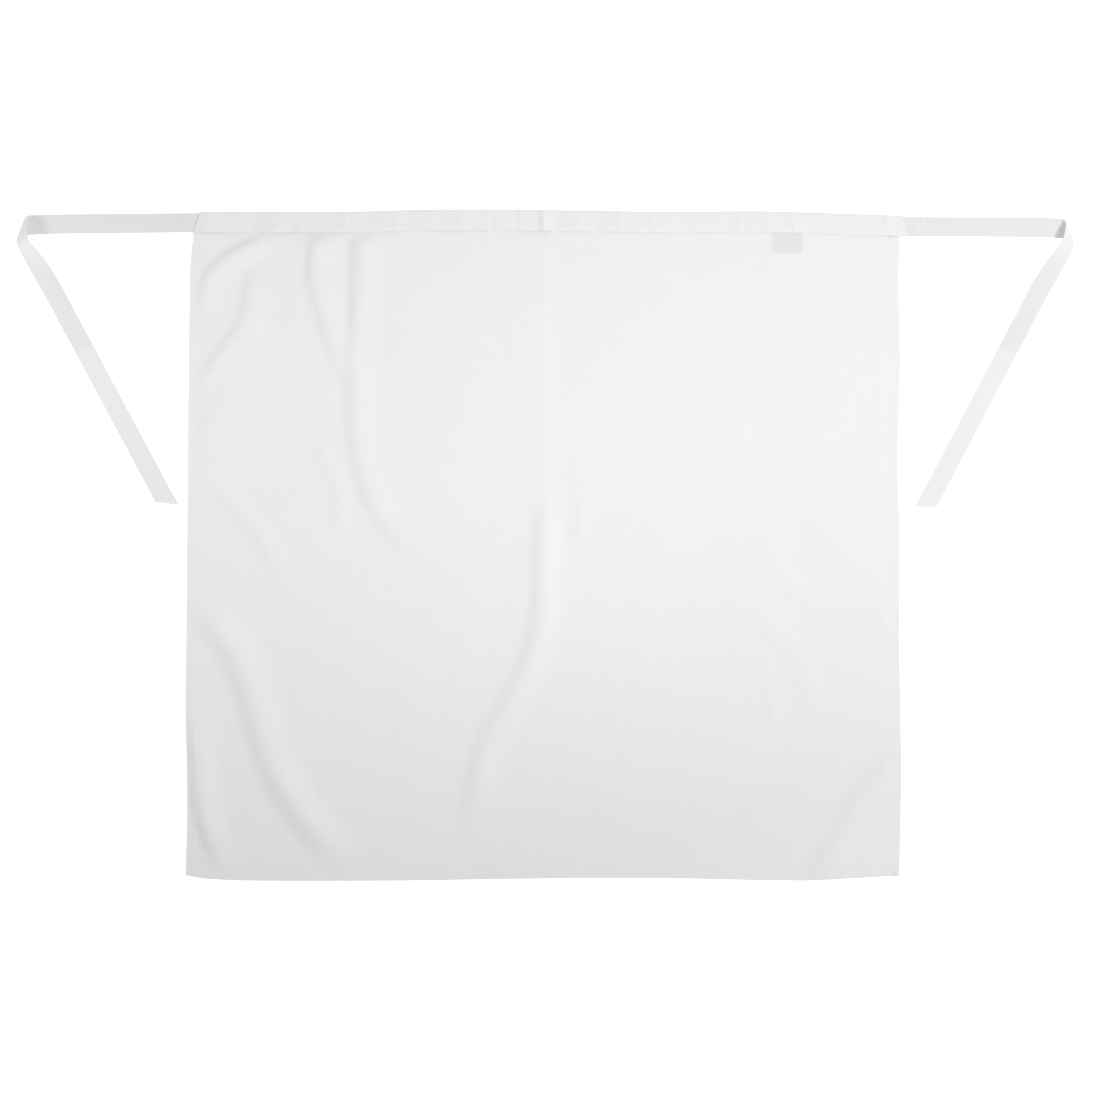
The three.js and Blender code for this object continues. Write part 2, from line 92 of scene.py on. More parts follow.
# A fold's path runs down its crest, each point a share of the width from the left and a share of
# the length below the band. height is a share of the fold height, left and right are the reaches
# of its flanks as shares of the width, and fade is the share of the path lost at each end.
Fold = namedtuple("Fold", "path height left right fade", defaults=((0.25, 0.25),))
FOLDS = (
    Fold(((0.247, -0.17), (0.246, -0.008), (0.244, 0.049), (0.241, 0.107), (0.238, 0.184),
          (0.237, 0.261), (0.239, 0.318), (0.248, 0.369), (0.263, 0.418), (0.286, 0.458),
          (0.317, 0.489), (0.354, 0.512), (0.397, 0.533)), 0.42, 0.022, 0.036),
    Fold(((0.181, -0.093), (0.181, 0.015), (0.179, 0.076), (0.188, 0.115), (0.2, 0.161),
          (0.216, 0.203), (0.234, 0.253)), 0.48, 0.018, 0.034),
    Fold(((0.123, -0.004), (0.094, 0.019), (0.06, 0.042), (0.032, 0.07), (0.025, 0.107),
          (0.028, 0.135)), 0.44, 0.014, 0.03),
    Fold(((0.096, 0.042), (0.089, 0.092), (0.081, 0.141), (0.054, 0.181), (0.032, 0.218),
          (0.001, 0.258)), 0.44, 0.017, 0.042),
    Fold(((0.071, 0.212), (0.053, 0.252), (0.033, 0.296), (0.012, 0.35)), 0.25, 0.02, 0.03),
    Fold(((-0.003, 0.361), (0.029, 0.387), (0.066, 0.423), (0.099, 0.466), (0.119, 0.501),
          (0.136, 0.541)), 0.25, 0.018, 0.024),
    Fold(((0.169, 0.3), (0.189, 0.338), (0.21, 0.395), (0.211, 0.443), (0.214, 0.484)),
         0.16, 0.02, 0.02),
    Fold(((0.304, 0.273), (0.312, 0.31), (0.315, 0.35)), 0.08, 0.014, 0.014),
    Fold(((-0.027, 0.546), (0.036, 0.603), (0.068, 0.654), (0.088, 0.707), (0.103, 0.769),
          (0.123, 0.831), (0.155, 0.889), (0.189, 0.935), (0.221, 0.966), (0.248, 0.992)),
         0.66, 0.03, 0.042, (0.25, 0.22)),
    Fold(((0.008, 0.72), (0.013, 0.8), (0.019, 0.875), (0.029, 0.92), (0.044, 0.96),
          (0.066, 0.99)), 0.55, 0.019, 0.036),
    Fold(((0.503, 0.4), (0.502, 0.453), (0.5, 0.507), (0.496, 0.6), (0.477, 0.674),
          (0.447, 0.738), (0.42, 0.792), (0.406, 0.861), (0.397, 0.911), (0.39, 0.963)),
         0.46, 0.024, 0.034, (0.12, 0.25)),
    Fold(((0.499, -0.124), (0.5, 0.03), (0.502, 0.261), (0.503, 0.507), (0.503, 0.63),
          (0.502, 0.723)), 0.14, 0.084, 0.022),
    Fold(((0.552, 0.338), (0.551, 0.415), (0.547, 0.515)), 0.12, 0.02, 0.02),
    Fold(((0.85, 0.427), (0.885, 0.461), (0.923, 0.497), (0.958, 0.53), (0.988, 0.557)),
         0.12, 0.017, 0.028),
    Fold(((0.789, 0.438), (0.812, 0.489), (0.838, 0.538), (0.868, 0.566), (0.93, 0.575),
          (1, 0.569)), 0.12, 0.022, 0.028),
    Fold(((0.778, 0.578), (0.815, 0.615), (0.857, 0.654), (0.872, 0.72), (0.878, 0.777)),
         0.14, 0.022, 0.031),
    Fold(((0.803, 0.674), (0.82, 0.723), (0.817, 0.781)), 0.08, 0.014, 0.017),
    Fold(((1.056, 0.772), (1.007, 0.803), (0.969, 0.843), (0.944, 0.877), (0.92, 0.926),
          (0.896, 0.972), (0.859, 1.038)), 0.42, 0.025, 0.048),
    Fold(((1.007, 0.854), (0.977, 0.895), (0.956, 0.946), (0.946, 1.018)), 0.1, 0.017, 0.022),
    Fold(((0.958, 0.575), (0.977, 0.6), (0.995, 0.634)), 0.08, 0.011, 0.011),
)

# A crease is a sharp line: its path as above, its height (below zero for a valley) as a share of
# the fold height, and the reach of both its flanks as a share of the width. CREASE_FADE is the
# share of its path lost at each end.
CREASE_FADE = 0.2
Crease = namedtuple("Crease", "path height reach")
CREASES = (
    Crease(((0.224, -0.03), (0.223, 0.049), (0.224, 0.107), (0.227, 0.161)), -0.14, 0.013),
    Crease(((0.499, -0.024), (0.5, 0.107), (0.5, 0.261), (0.502, 0.446), (0.503, 0.63),
            (0.505, 0.723)), 0.035, 0.008),
    Crease(((0.333, 0.587), (0.397, 0.581), (0.469, 0.578)), 0.03, 0.009),
    Crease(((-0.002, 0.904), (0.018, 0.912), (0.043, 0.926)), 0.08, 0.009),
    Crease(((-0.005, 0.951), (0.025, 0.963), (0.054, 0.975)), 0.08, 0.009),
    Crease(((0.96, 0.747), (0.98, 0.752), (1.005, 0.755)), 0.05, 0.011),
    Crease(((0.927, 0.246), (0.944, 0.256), (0.962, 0.264)), -0.03, 0.006),
    Crease(((0.96, 0.184), (0.966, 0.195), (0.97, 0.206)), -0.03, 0.006),
)

# Creases across the waistband: a share of its length, how far the cloth stands out (or sinks in)
# there in metres, and the crease's reach to its left and its right in metres.
BAND_CREASES = (
    (0.216, -0.0007, 0.008, 0.008), (0.331, 0.0006, 0.007, 0.009), (0.457, 0.0009, 0.008, 0.012),
    (0.489, 0.0032, 0.008, 0.02), (0.597, 0.0008, 0.007, 0.01), (0.642, 0.0006, 0.007, 0.009),
    (0.765, 0.0008, 0.007, 0.008), (0.8, -0.0006, 0.006, 0.006), (0.842, 0.0008, 0.008, 0.009),
    (0.862, -0.0006, 0.006, 0.006), (0.978, 0.0014, 0.014, 0.01),
)

# The cloth's small unevenness: the height and the length of its waves in metres, and a seed.
Ripple = namedtuple("Ripple", "height length seed")
SLACK_WAVE = Ripple(0.0005, 0.11, 3.0)
SLACK_RIPPLE = Ripple(0.00022, 0.038, 7.0)
HEM_PUCKER = Ripple(0.00012, 0.012, 11.0)
BAND_PUCKER = Ripple(0.0009, 0.01, 5.0)
BAND_WAVE = Ripple(0.0012, 0.03, 9.0)
TAPE_RIPPLE = Ripple(0.00025, 0.03, 2.0)
TAPE_PUCKER = Ripple(0.003, 0.009, 6.0)
LABEL_RIPPLE = Ripple(0.0001, 0.01, 4.0)

# Marks on the panel: a share of the width and of the length, half a mark's size in metres, and
# the share of the cloth's tone that it keeps.
MARKS = (
    (0.559, 0.303, 0.0008, 0.9), (0.485, 0.092, 0.0014, 0.975), (0.974, 0.597, 0.001, 0.94),
    (0.986, 0.641, 0.0009, 0.95), (0.991, 0.988, 0.0028, 0.93),
)

# The share of the band's length, at each end, over which its front comes down onto the tie.
BAND_END = 0.014

# The band's puckers and waves are longer down the band than along it: these shares scale them.
BAND_STRETCH = (1.0, 0.35)

# How deep the band's seam sinks on its left side, as a share of its depth on its right side, and
# the shares of the band's length where it begins to tighten and over which it does so.
LOOSE_SEAM = 0.35
TIGHTENING_START = 0.4
TIGHTENING_LENGTH = 0.2

# How narrow the sunk line of a seam is, against the seam's distance from the edge: on the hems and
# the ties, on the band, and for the band's puckers beside its seam. BAND_RIM_REACH is how far up
# the band its lower edge is drawn in, in the seam's distances from that edge, and TIE_SEAM_DEPTH
# the share of the tape's thickness that its seams press in.
SEAM_NARROWNESS = 2
BAND_SEAM_NARROWNESS = 1.7
BAND_PUCKER_NARROWNESS = 0.4
BAND_RIM_REACH = 1.7
TIE_SEAM_DEPTH = 0.35

# Lengths in metres: the width of the step from a hem to the single cloth, how far a tie's upper
# edge lies below the band's and how high the tie lies inside the band, the least height of the
# panel, how deep it presses the label, how far below the band the label begins, how much shorter
# it is than its box, its height and its thickness.
HEM_RAMP = 0.0012
TIE_BELOW_TOP = 0.0015
TIE_RISE = 0.0009
LEAST_LIFT = 0.00005
LABEL_PRESS = 0.0001
LABEL_GAP = 0.0003
LABEL_SHORTER = 0.001
LABEL_LIFT = 0.0006
LABEL_THICKNESS = 0.0004

# How round the cut edges are, in metres, and the least turn of an edge that is rounded.
CLOTH_RIM = 0.00035
BAND_RIM = 0.0002
LABEL_RIM = 0.0001
RIM_ANGLE = math.radians(50)

# Where a wall's thickness goes: all on the sheet's underside, or half on each side.
UNDERSIDE = -1
BOTH_SIDES = 0

# The distances in which the panel comes down below the band and beside the label, as shares of
# its settling distance. A tie's unevenness fades in over its settling length by TIE_LEAVING.
BELOW_BAND = 0.75
BESIDE_LABEL = 0.5
TIE_LEAVING = 4

# A tie's turned corner: the places of its inner and outer edge, as shares of its width out from
# the corner, down from the run's upper edge, and up off the floor.
TIE_CORNER_INNER = (
    (-1.72, 0, 0), (-0.9, 0.01, 0), (-0.385, 0.026, 0), (-0.14, 0.05, 0.03), (-0.015, 0.09, 0.11),
    (0.04, 0.17, 0.24), (0.046, 0.385, 0.44), (-0.02, 0.69, 0.63), (-0.108, 1.026, 0.75),
    (-0.2, 1.364, 0.72), (-0.436, 1.667, 0.56), (-0.805, 2.1, 0.32), (-1.154, 2.6, 0.1),
    (-1.651, 3.395, 0),
)
TIE_CORNER_OUTER = (
    (-1.72, 1, 0), (-0.74, 1.02, 0), (-0.18, 1.06, 0), (0.18, 1.09, 0.02), (0.385, 1.14, 0.08),
    (0.477, 1.22, 0.18), (0.477, 1.33, 0.24), (0.467, 1.43, 0.24), (0.44, 1.55, 0.22),
    (0.395, 1.73, 0.18), (0.287, 1.974, 0.12), (0.05, 2.395, 0.045), (-0.25, 2.98, 0.005),
    (-0.774, 3.872, 0),
)

# A tie's piece and node, its side, the length of its run and how far that sinks, the length of its
# falling end, that end's lean in degrees and the slant of its cut. Lengths are in metres.
Tie = namedtuple("Tie", "name node side run sink fall lean cut")
TIES = (
    Tie("left_tie", "tie_left", -1, 0.214, 0.0015, 0.326, 28.2, 0.0178),
    Tie("right_tie", "tie_right", 1, 0.2, 0.0009, 0.322, 27.7, 0.0125),
)

# Kinks across a tie: the distance from its tip, and the kink's height and reach, in metres. The
# tape's colour is painted a little darker from the last of them up to the band: the next two
# numbers are half the length of that change, and the share of its tone that the tape keeps.
TIE_KINKS = ((0.253, 0.0008, 0.004), (0.227, 0.0007, 0.004))
DARKER_RUN_SOFTNESS = 0.006
DARKER_RUN_TONE = 0.955

# The label's shadow through the cloth, painted into the panel's colour: half the width of its soft
# edge in metres, and the share of the cloth's tone that it keeps. MARK_SOFTNESS is a mark's soft
# edge as a share of half its size.
LABEL_SHADOW_SOFTNESS = 0.0035
LABEL_SHADOW_TONE = 0.9
MARK_SOFTNESS = 0.7

# A stitch's arch: shares of its length, and its height there in radii of its thread. STITCH_SEAT
# is how far from the tape's middle its stitches lie, as a share of its thickness, and STITCH_SHOWS
# the lowest upward part of their direction at which they show.
STITCH_ARCH = ((0, -1.2), (0.2, 0.4), (0.5, 0.8), (0.8, 0.4), (1, -1.2))
STITCH_SEAT = 0.33
STITCH_SHOWS = -0.3

# A loose thread: the shares of the tape's thickness where it starts, the shares of the greatest
# length that it has, how far to a side its tip and its bend reach as a share of its length, and
# the height of its tip in radii.
FRAY_START = (0.3, 0.9)
FRAY_REACH = (0.3, 1)
FRAY_SWAY = (-0.5, 0.5)
FRAY_CURL = (-0.3, 0.3)
FRAY_TIP = 1.5

# The panel's grid lines across and down it: each row goes on to that distance in metres, in steps
# no longer than its second number. The lines inside the band are shares of that cloth's length.
# WHOLE_STEP keeps a whole number of steps from being rounded up.
PANEL_SPACING = (
    (0.003, 0.0009), (0.0145, 0.0012), (0.37, 0.0043), (0.425, 0.0062), (0.515, 0.0032),
    (0.73, 0.0075), (0.8995, 0.0055), (0.911, 0.0012), (0.914, 0.0009),
)
PANEL_DOWN_SPACING = (
    (0.004, 0.0012), (0.03, 0.004), (0.8222, 0.0047), (0.8299, 0.0013), (0.8329, 0.0009),
)
TONGUE_LINES = (1, 0.5, 0.0125)
WHOLE_STEP = 1e-6

# How fine the other pieces are: steps in metres, and numbers of rows, columns, points and sides.
BAND_COLUMN = 0.0021
BAND_FRONT_ROWS = 13
BAND_FOLD_ROWS = 7
BAND_BACK_ROWS = 6
TIE_COLUMNS = 14
TIE_STEP = 0.0018
TIE_CORNER_STEPS = 7
LABEL_COLUMNS = 19
LABEL_ROWS = 13
PATH_STEPS = 5
RIM_SEGMENTS = 2
THREAD_SIDES = 5
FRAY_POINTS = 5
SEAM_POINTS = 700

# A kind of cloth: the length of a pair of its threads in metres, its roughness and its sheen.
Cloth = namedtuple("Cloth", "thread_pair roughness sheen")
PLAIN_CLOTH = Cloth(0.0009, 0.88, 0.15)
TAPE_CLOTH = Cloth(0.0009, 0.85, 0.15)
RIBBON_CLOTH = Cloth(0.0004, 0.5, 0.1)

# Thicker stretches of the threads: their scale along a thread and across it. The small patches are
# so many times smaller than the wide ones, and have that part in the tone.
SLUB_SCALES = (30, 1400)
SMALL_PATCHES = 5.0
SMALL_PART = 0.4

# The shares of its colour that the cloth keeps in its darkest and its lightest patches, the same
# for the sewing thread, the least share that a yarn keeps and how much more the lightest one does,
# and how much the roughness varies with the weave.
PATCH_TONES = (0.98, 1.02)
THREAD_TONES = (0.95, 1.04)
YARN_TONE = 0.97
YARN_SPREAD = 0.06
ROUGHNESS_SPREAD = 0.08

# The relief of the weave and of a thread's fibres: its strength, and its depth in metres. A
# thread's roughness varies by the first number, from the second on.
WEAVE_BUMP = (0.35, 0.00012)
FIBRE_BUMP = (0.4, 0.0001)
FIBRE_SCALE = 2500.0
THREAD_ROUGHNESS = (0.2, 0.55)

# The round lights: each one's place, the point that it is aimed at, and its width, in metres.
Light = namedtuple("Light", "name place aim width")
LIGHTS = (
    Light("key", (1.5, 0.2, 1.8), (-0.5, 0.1, 0), 0.6),
    Light("pool", (0.06, -0.17, 0.76), (-0.5, 2.34, 0), 0.3),
    Light("fill", (-1.0, 0.15, 0.3), (-0.65, 0.25, 0), 0.14),
)
LIGHT_COLOUR = (0.975, 0.99, 1.0)
ROOM_COLOUR = (1.0, 0.98, 0.983, 1)
WHITE = (1, 1, 1, 1)

# The floor's side, how far it lies below the apron, and its roughness, and the camera's sensor,
# in millimetres.
FLOOR_SIDE = 16
FLOOR_DROP = 0.0002
FLOOR_ROUGHNESS = 0.9
SENSOR = 36.0


def most_out(edge):
    return max(out for _, out in edge)


BAND_LOW, BAND_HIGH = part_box("waistband")
PANEL_LOW, PANEL_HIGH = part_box("panel")
LABEL_LOW, LABEL_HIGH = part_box("care_label")
BAND_LENGTH = BAND_HIGH[0] - BAND_LOW[0]
LABEL_WIDTH = LABEL_HIGH[0] - LABEL_LOW[0]
LABEL_LENGTH = LABEL_HIGH[1] - LABEL_LOW[1]
PANEL_WIDTH = (PANEL_HIGH[0] - PANEL_LOW[0]) / (1 + most_out(LEFT_EDGE) + most_out(RIGHT_EDGE))


def metres(name, description, default):
    """A length that the user can set."""
    return FloatProperty(
        name=name, description=description, default=default, unit="LENGTH", precision=4)


def tint(name, description, default):
    """A colour that the user can set."""
    return FloatVectorProperty(
        name=name, description=description, default=default, subtype="COLOR")


def watts(name, description, default):
    """A light's power that the user can set."""
    return FloatProperty(name=name, description=description, default=default, unit="POWER")


class ApronClothSizes(bpy.types.PropertyGroup):
    """Sizes of the panel's cloth"""

    width: metres("Width", "Width of the panel", PANEL_WIDTH)
    top: metres("Top", "Height of the band's straight upper edge", BAND_HIGH[1])
    bottom: metres("Bottom", "Height of the hem's straight edge", PANEL_LOW[1])
    cloth: metres("Cloth", "Thickness of one layer", 0.0006)
    hem_extra: metres("Hem Extra", "How much thicker the hems are", 0.00025)
    side_hem: metres("Side Hem", "Width of the side hems", 0.011)
    bottom_hem: metres("Bottom Hem", "Width of the bottom hem", 0.008)
    slack: metres("Slack", "Height at which the slack cloth lies", 0.0008)
    mouth: metres("Mouth", "Height of the cloth inside the band", 0.0009)
    tongue: metres("Tongue", "Length of the cloth inside the band", 0.024)
    settle: metres("Settle", "Distance in which raised cloth comes down", 0.024)
    seam_inset: metres("Seam Inset", "Distance of a hem's seam from its fold", 0.0018)
    seam_depth: metres("Seam Depth", "How deep a hem's seam sinks", 0.0001)
    fold_height: metres("Fold Height", "Height of the tallest fold", 0.01)


class ApronBandSizes(bpy.types.PropertyGroup):
    """Sizes of the waistband"""

    height: metres("Height", "Height of the folded band", 0.0268)
    thickness: metres("Thickness", "Thickness of the folded band", 0.003)
    cloth: metres("Cloth", "Thickness of each wall", 0.0007)
    seam_inset: metres("Seam Inset", "Distance of the seam from the lower edge", 0.0024)
    seam_depth: metres("Seam Depth", "How deep the seam sinks", 0.0008)
    slant: metres("Slant", "How far each end slants inwards", 0.008)


class ApronTieSizes(bpy.types.PropertyGroup):
    """Sizes of the ties"""

    width: metres("Width", "Width of the tape", 0.025)
    thickness: metres("Thickness", "Thickness of the tape", 0.0012)
    seam_inset: metres("Seam Inset", "Distance of the edge seams", 0.0028)
    seam: metres("Seam", "Length sewn inside the band", 0.021)
    settle: metres("Settle", "Length over which it comes down", 0.03)


class ApronStitchSizes(bpy.types.PropertyGroup):
    """Sizes of the stitches and loose threads"""

    pitch: metres("Pitch", "Distance between stitches", 0.003)
    length: metres("Length", "Length of one stitch", 0.0024)
    thread: metres("Thread", "Radius of the thread", 0.00018)
    fray_length: metres("Fray Length", "Length of the longest loose thread", 0.0045)
    frays: IntProperty(
        name="Frays", description="Loose threads at each tie's cut end", default=26)


class ApronColours(bpy.types.PropertyGroup):
    """Colours of the apron"""

    cloth: tint("Cloth", "White of the panel", (0.79, 0.788, 0.79))
    band: tint("Band", "White of the waistband", (0.78, 0.778, 0.78))
    tape: tint("Tape", "White of the ties", (0.764, 0.765, 0.768))
    label: tint("Label", "White of the blank label", (0.7, 0.7, 0.71))
    thread: tint("Thread", "White of the sewing thread", (0.84, 0.84, 0.84))
    floor: tint("Floor", "Pale floor", (0.93, 0.93, 0.93))


class ApronStudio(bpy.types.PropertyGroup):
    """Camera and lights"""

    camera_height: metres("Camera Height", "Height of the camera", 6.0)
    key_power: watts("Key Power", "Power of the key light", 22.7)
    pool_power: watts("Pool Power", "Power of the light below the band", 1.9)
    fill_power: watts("Fill Power", "Power of the low left light", 0.92)
    room_light: FloatProperty(
        name="Room Light", description="Strength of the even light", default=0.64)
    floor_glow: FloatProperty(
        name="Floor Glow", description="Light that the floor gives off", default=0.5)


def smooth_step(share):
    share = np.clip(share, 0, 1)
    return share * share * (3 - 2 * share)


def ridge(away, reach):
    """A sharp ridge: 1 on its line, and falling to 0 at its reach."""
    return (1 - np.minimum(np.abs(away) / reach, 1)) ** 2


def hump(away):
    """A soft hump: 1 at no distance, and almost 0 at a distance of 2."""
    return np.exp(-(away**2))


def edge_curve(rows):
    """A smooth curve through an edge table, as a function of the share along the edge."""
    at = np.array([row[0] for row in rows], float)
    out = np.array([row[1] for row in rows], float)
    after = np.minimum(np.arange(len(rows)) + 1, len(rows) - 1)
    before = np.maximum(np.arange(len(rows)) - 1, 0)
    slope = (out[after] - out[before]) / (at[after] - at[before])

    def curve(share):
        share = np.clip(share, 0, 1)
        k = np.clip(np.searchsorted(at, share, side="right") - 1, 0, len(at) - 2)
        span = at[k + 1] - at[k]
        t = (share - at[k]) / span
        pull = span * t * (1 - t) * ((1 - t) * slope[k] - t * slope[k + 1])
        return out[k] + (out[k + 1] - out[k]) * smooth_step(t) + pull

    return curve


top_curve = edge_curve(TOP_EDGE)
left_curve = edge_curve(LEFT_EDGE)
right_curve = edge_curve(RIGHT_EDGE)
bottom_curve = edge_curve(BOTTOM_EDGE)


def smooth_path(stops, steps):
    """A centripetal Catmull-Rom curve through the stops, with that many steps to a stretch."""
    stops = np.asarray(stops, float)
    ends = np.vstack([2 * stops[0] - stops[1], stops, 2 * stops[-1] - stops[-2]])
    gaps = np.sqrt(np.linalg.norm(np.diff(ends, axis=0), axis=1))
    t = np.linspace(0, 1, steps, endpoint=False)[:, None]
    points = []
    for k in range(len(stops) - 1):
        p0, p1, p2, p3 = ends[k:k + 4]
        d0, d1, d2 = gaps[k:k + 3]
        leave = ((p1 - p0) / d0 - (p2 - p0) / (d0 + d1) + (p2 - p1) / d1) * d1
        arrive = ((p2 - p1) / d1 - (p3 - p1) / (d1 + d2) + (p3 - p2) / d2) * d1
        pull = t * (1 - t) * ((1 - t) * (leave - p2 + p1) - t * (arrive - p2 + p1))
        points.append(p1 + (p2 - p1) * t + pull)
    return np.vstack([*points, stops[-1:]])


def lengths_along(path):
    """The length of a path from its start to each of its points."""
    return np.concatenate([[0], np.cumsum(np.linalg.norm(np.diff(path, axis=0), axis=1))])


def beside_path(places, path):
    """Each place's distance from the path, below zero on its left, and its share along it."""
    lengths = np.linalg.norm(np.diff(path, axis=0), axis=1)
    begun = lengths_along(path)
    nearest = np.full(len(places), np.inf)
    signed = np.full(len(places), np.inf)
    share = np.zeros(len(places))
    for k, length in enumerate(lengths):
        step = path[k + 1] - path[k]
        along = np.clip((places - path[k]) @ step / length**2, 0, 1)
        gap = places - path[k] - along[:, None] * step
        distance = np.hypot(gap[:, 0], gap[:, 1])
        side = np.where(step[0] * gap[:, 1] < step[1] * gap[:, 0], -1.0, 1.0)
        closer = distance < nearest
        nearest = np.where(closer, distance, nearest)
        signed = np.where(closer, side * distance, signed)
        share = np.where(closer, (begun[k] + along * length) / begun[-1], share)
    return signed, share


def ripple_at(places, ripple):
    """Smooth waves, up and down by about the ripple's height."""
    scaled = places / ripple.length
    return ripple.height * np.array([noise.noise((x, y, ripple.seed)) for x, y in scaled])


def grid_lines(stops):
    """Lines from 0 to each stop in turn, in equal steps no longer than the stop's spacing."""
    lines = [0.0]
    for stop, spacing in stops:
        steps = max(1, math.ceil((stop - lines[-1]) / spacing - WHOLE_STEP))
        lines.extend(np.linspace(lines[-1], stop, steps + 1)[1:])
    return np.array(lines)


def along_band(x):
    """The share of the waistband's length at a place along it."""
    return (x - BAND_LOW[0]) / BAND_LENGTH


class Panel:
    """The panel's form: where a point of the flat cloth lies, how high and how thick."""

    def __init__(self, scene):
        cloth = scene.apron_cloth
        band = scene.apron_band
        self.cloth = cloth
        self.left = -cloth.width / 2
        self.right = cloth.width / 2
        self.top = cloth.top
        self.bottom = cloth.bottom
        self.band_height = band.height
        self.drop = self.top - self.bottom - band.height
        self.crests = []
        for fold in (*FOLDS, *CREASES):
            stops = [
                (self.left + across * cloth.width, self.top - band.height - down * self.drop)
                for across, down in fold.path
            ]
            self.crests.append((fold, smooth_path(stops, PATH_STEPS)))

    def band_top(self, x):
        """The height of the waistband's upper edge at a place along it."""
        return self.top + self.cloth.width * top_curve(along_band(x))

    def place(self, across, down):
        """Where a point of the flat cloth lies on the floor."""
        width = self.cloth.width
        fall = np.clip(down / self.drop, 0, 1)
        share = (across - self.left) / width
        low_x = self.left - width * left_curve(fall)
        high_x = self.right + width * right_curve(fall)
        x = low_x + (high_x - low_x) * share
        mouth = self.band_top(x) - self.band_height
        foot = self.bottom - width * bottom_curve(share)
        y = np.where(down < 0, mouth - down, mouth + (foot - mouth) * fall)
        return np.stack([x, y], axis=1)

    def folds(self, places):
        """How far the folds and creases lift the cloth at each place."""
        width = self.cloth.width
        total = np.zeros(len(places))
        for fold, crest in self.crests:
            is_fold = isinstance(fold, Fold)
            widest = width * (max(fold.left, fold.right) if is_fold else fold.reach)
            low = crest.min(axis=0) - widest
            high = crest.max(axis=0) + widest
            near = np.all((places > low) & (places < high), axis=1)
            signed, share = beside_path(places[near], crest)
            if is_fold:
                reach = width * np.where(signed < 0, fold.left, fold.right)
                bell = (1 + np.cos(np.pi * np.minimum(np.abs(signed) / reach, 1))) / 2
                starts, ends = fold.fade
            else:
                bell = ridge(signed, width * fold.reach)
                starts, ends = CREASE_FADE, CREASE_FADE
            fading = smooth_step(share / starts) * smooth_step((1 - share) / ends)
            total[near] += self.cloth.fold_height * fold.height * bell * fading
        return total

    def hem(self, across, down):
        """1 on the hems and 0 on the single cloth, and the distance in from the nearest edge."""
        cloth = self.cloth
        beside = np.minimum(across - self.left, self.right - across)
        below = self.drop - down
        side = smooth_step((cloth.side_hem - beside) / HEM_RAMP + 0.5)
        bottom = smooth_step((cloth.bottom_hem - below) / HEM_RAMP + 0.5)
        return np.maximum(side, bottom), beside, below

    def lift(self, across, down, places):
        """The height of the panel's underside."""
        cloth = self.cloth
        _, beside, below = self.hem(across, down)
        edge = np.minimum(beside, below)
        waves = ripple_at(places, SLACK_WAVE) + ripple_at(places, SLACK_RIPPLE)
        puckers = ripple_at(places, HEM_PUCKER) * hump(edge / cloth.side_hem / 2)
        slack = (cloth.slack + waves) * smooth_step(edge / cloth.settle)
        below_band = self.band_top(places[:, 0]) - self.band_height - places[:, 1]
        leaving = smooth_step(below_band / (cloth.settle * BELOW_BAND))
        free = slack + puckers + self.folds(places)
        over_label = self.over_label(places)
        lying = np.maximum(free, over_label)
        lifted = cloth.mouth * (1 - leaving) + lying * leaving
        return np.maximum(np.maximum(lifted, LEAST_LIFT), over_label * (down >= 0))

    def over_label(self, places):
        """The cloth's height where it lies over the label."""
        beside = np.maximum(LABEL_LOW[0] - places[:, 0], places[:, 0] - LABEL_HIGH[0])
        below = LABEL_LOW[1] - places[:, 1]
        away = np.hypot(np.maximum(beside, 0), np.maximum(below, 0))
        fading = smooth_step(away / (self.cloth.settle * BESIDE_LABEL))
        return (LABEL_HIGH[2] - LABEL_PRESS) * (1 - fading)

    def surface(self, across, down):
        """The places of the upper skin, and the cloth's thickness there."""
        cloth = self.cloth
        places = self.place(across, down)
        hem, beside, below = self.hem(across, down)
        hem = np.where(down < 0, 0, hem)
        thickness = cloth.cloth + cloth.hem_extra * hem
        from_side_seam = beside - cloth.side_hem + cloth.seam_inset
        from_bottom_seam = below - cloth.bottom_hem + cloth.seam_inset
        from_seam = np.minimum(np.abs(from_side_seam), np.abs(from_bottom_seam))
        seam = np.where(down < 0, 0, hump(from_seam / cloth.seam_inset * SEAM_NARROWNESS))
        thickness = thickness - cloth.seam_depth * seam
        lift = np.where(down < 0, cloth.mouth, self.lift(across, down, places))
        return np.column_stack([places, lift + thickness]), thickness


def flat_grid(name, columns, rows):
    """A new flat grid of one metre a side, alone and active."""
    bpy.ops.object.select_all(action="DESELECT")
    bpy.ops.mesh.primitive_grid_add(x_subdivisions=columns, y_subdivisions=rows, size=1)
    piece = bpy.context.object
    piece.name = piece.data.name = name
    if len(piece.data.vertices) != (columns + 1) * (rows + 1):
        raise RuntimeError(f"{name}: the grid has {len(piece.data.vertices)} vertices")
    return piece


def mesh_points(piece):
    points = np.empty(len(piece.data.vertices) * 3)
    piece.data.vertices.foreach_get("co", points)
    return points.reshape(-1, 3)


def grid_indices(piece, columns, rows):
    """The column from the left and the row from the top of each of a flat grid's vertices."""
    points = mesh_points(piece)
    column = np.rint((points[:, 0] + 0.5) * columns).astype(int)
    row = np.rint((0.5 - points[:, 1]) * rows).astype(int)
    return column, row


def move_points(piece, points):
    piece.data.vertices.foreach_set("co", np.asarray(points, float).ravel())
    piece.data.update()


def set_metric_uv(piece, across, along):
    """Gives each vertex's place on the flat cloth to the UV map, in metres."""
    vertex = np.empty(len(piece.data.loops), dtype=int)
    piece.data.loops.foreach_get("vertex_index", vertex)
    layer = piece.data.uv_layers.active.data
    layer.foreach_set("uv", np.column_stack([across[vertex], along[vertex]]).ravel())


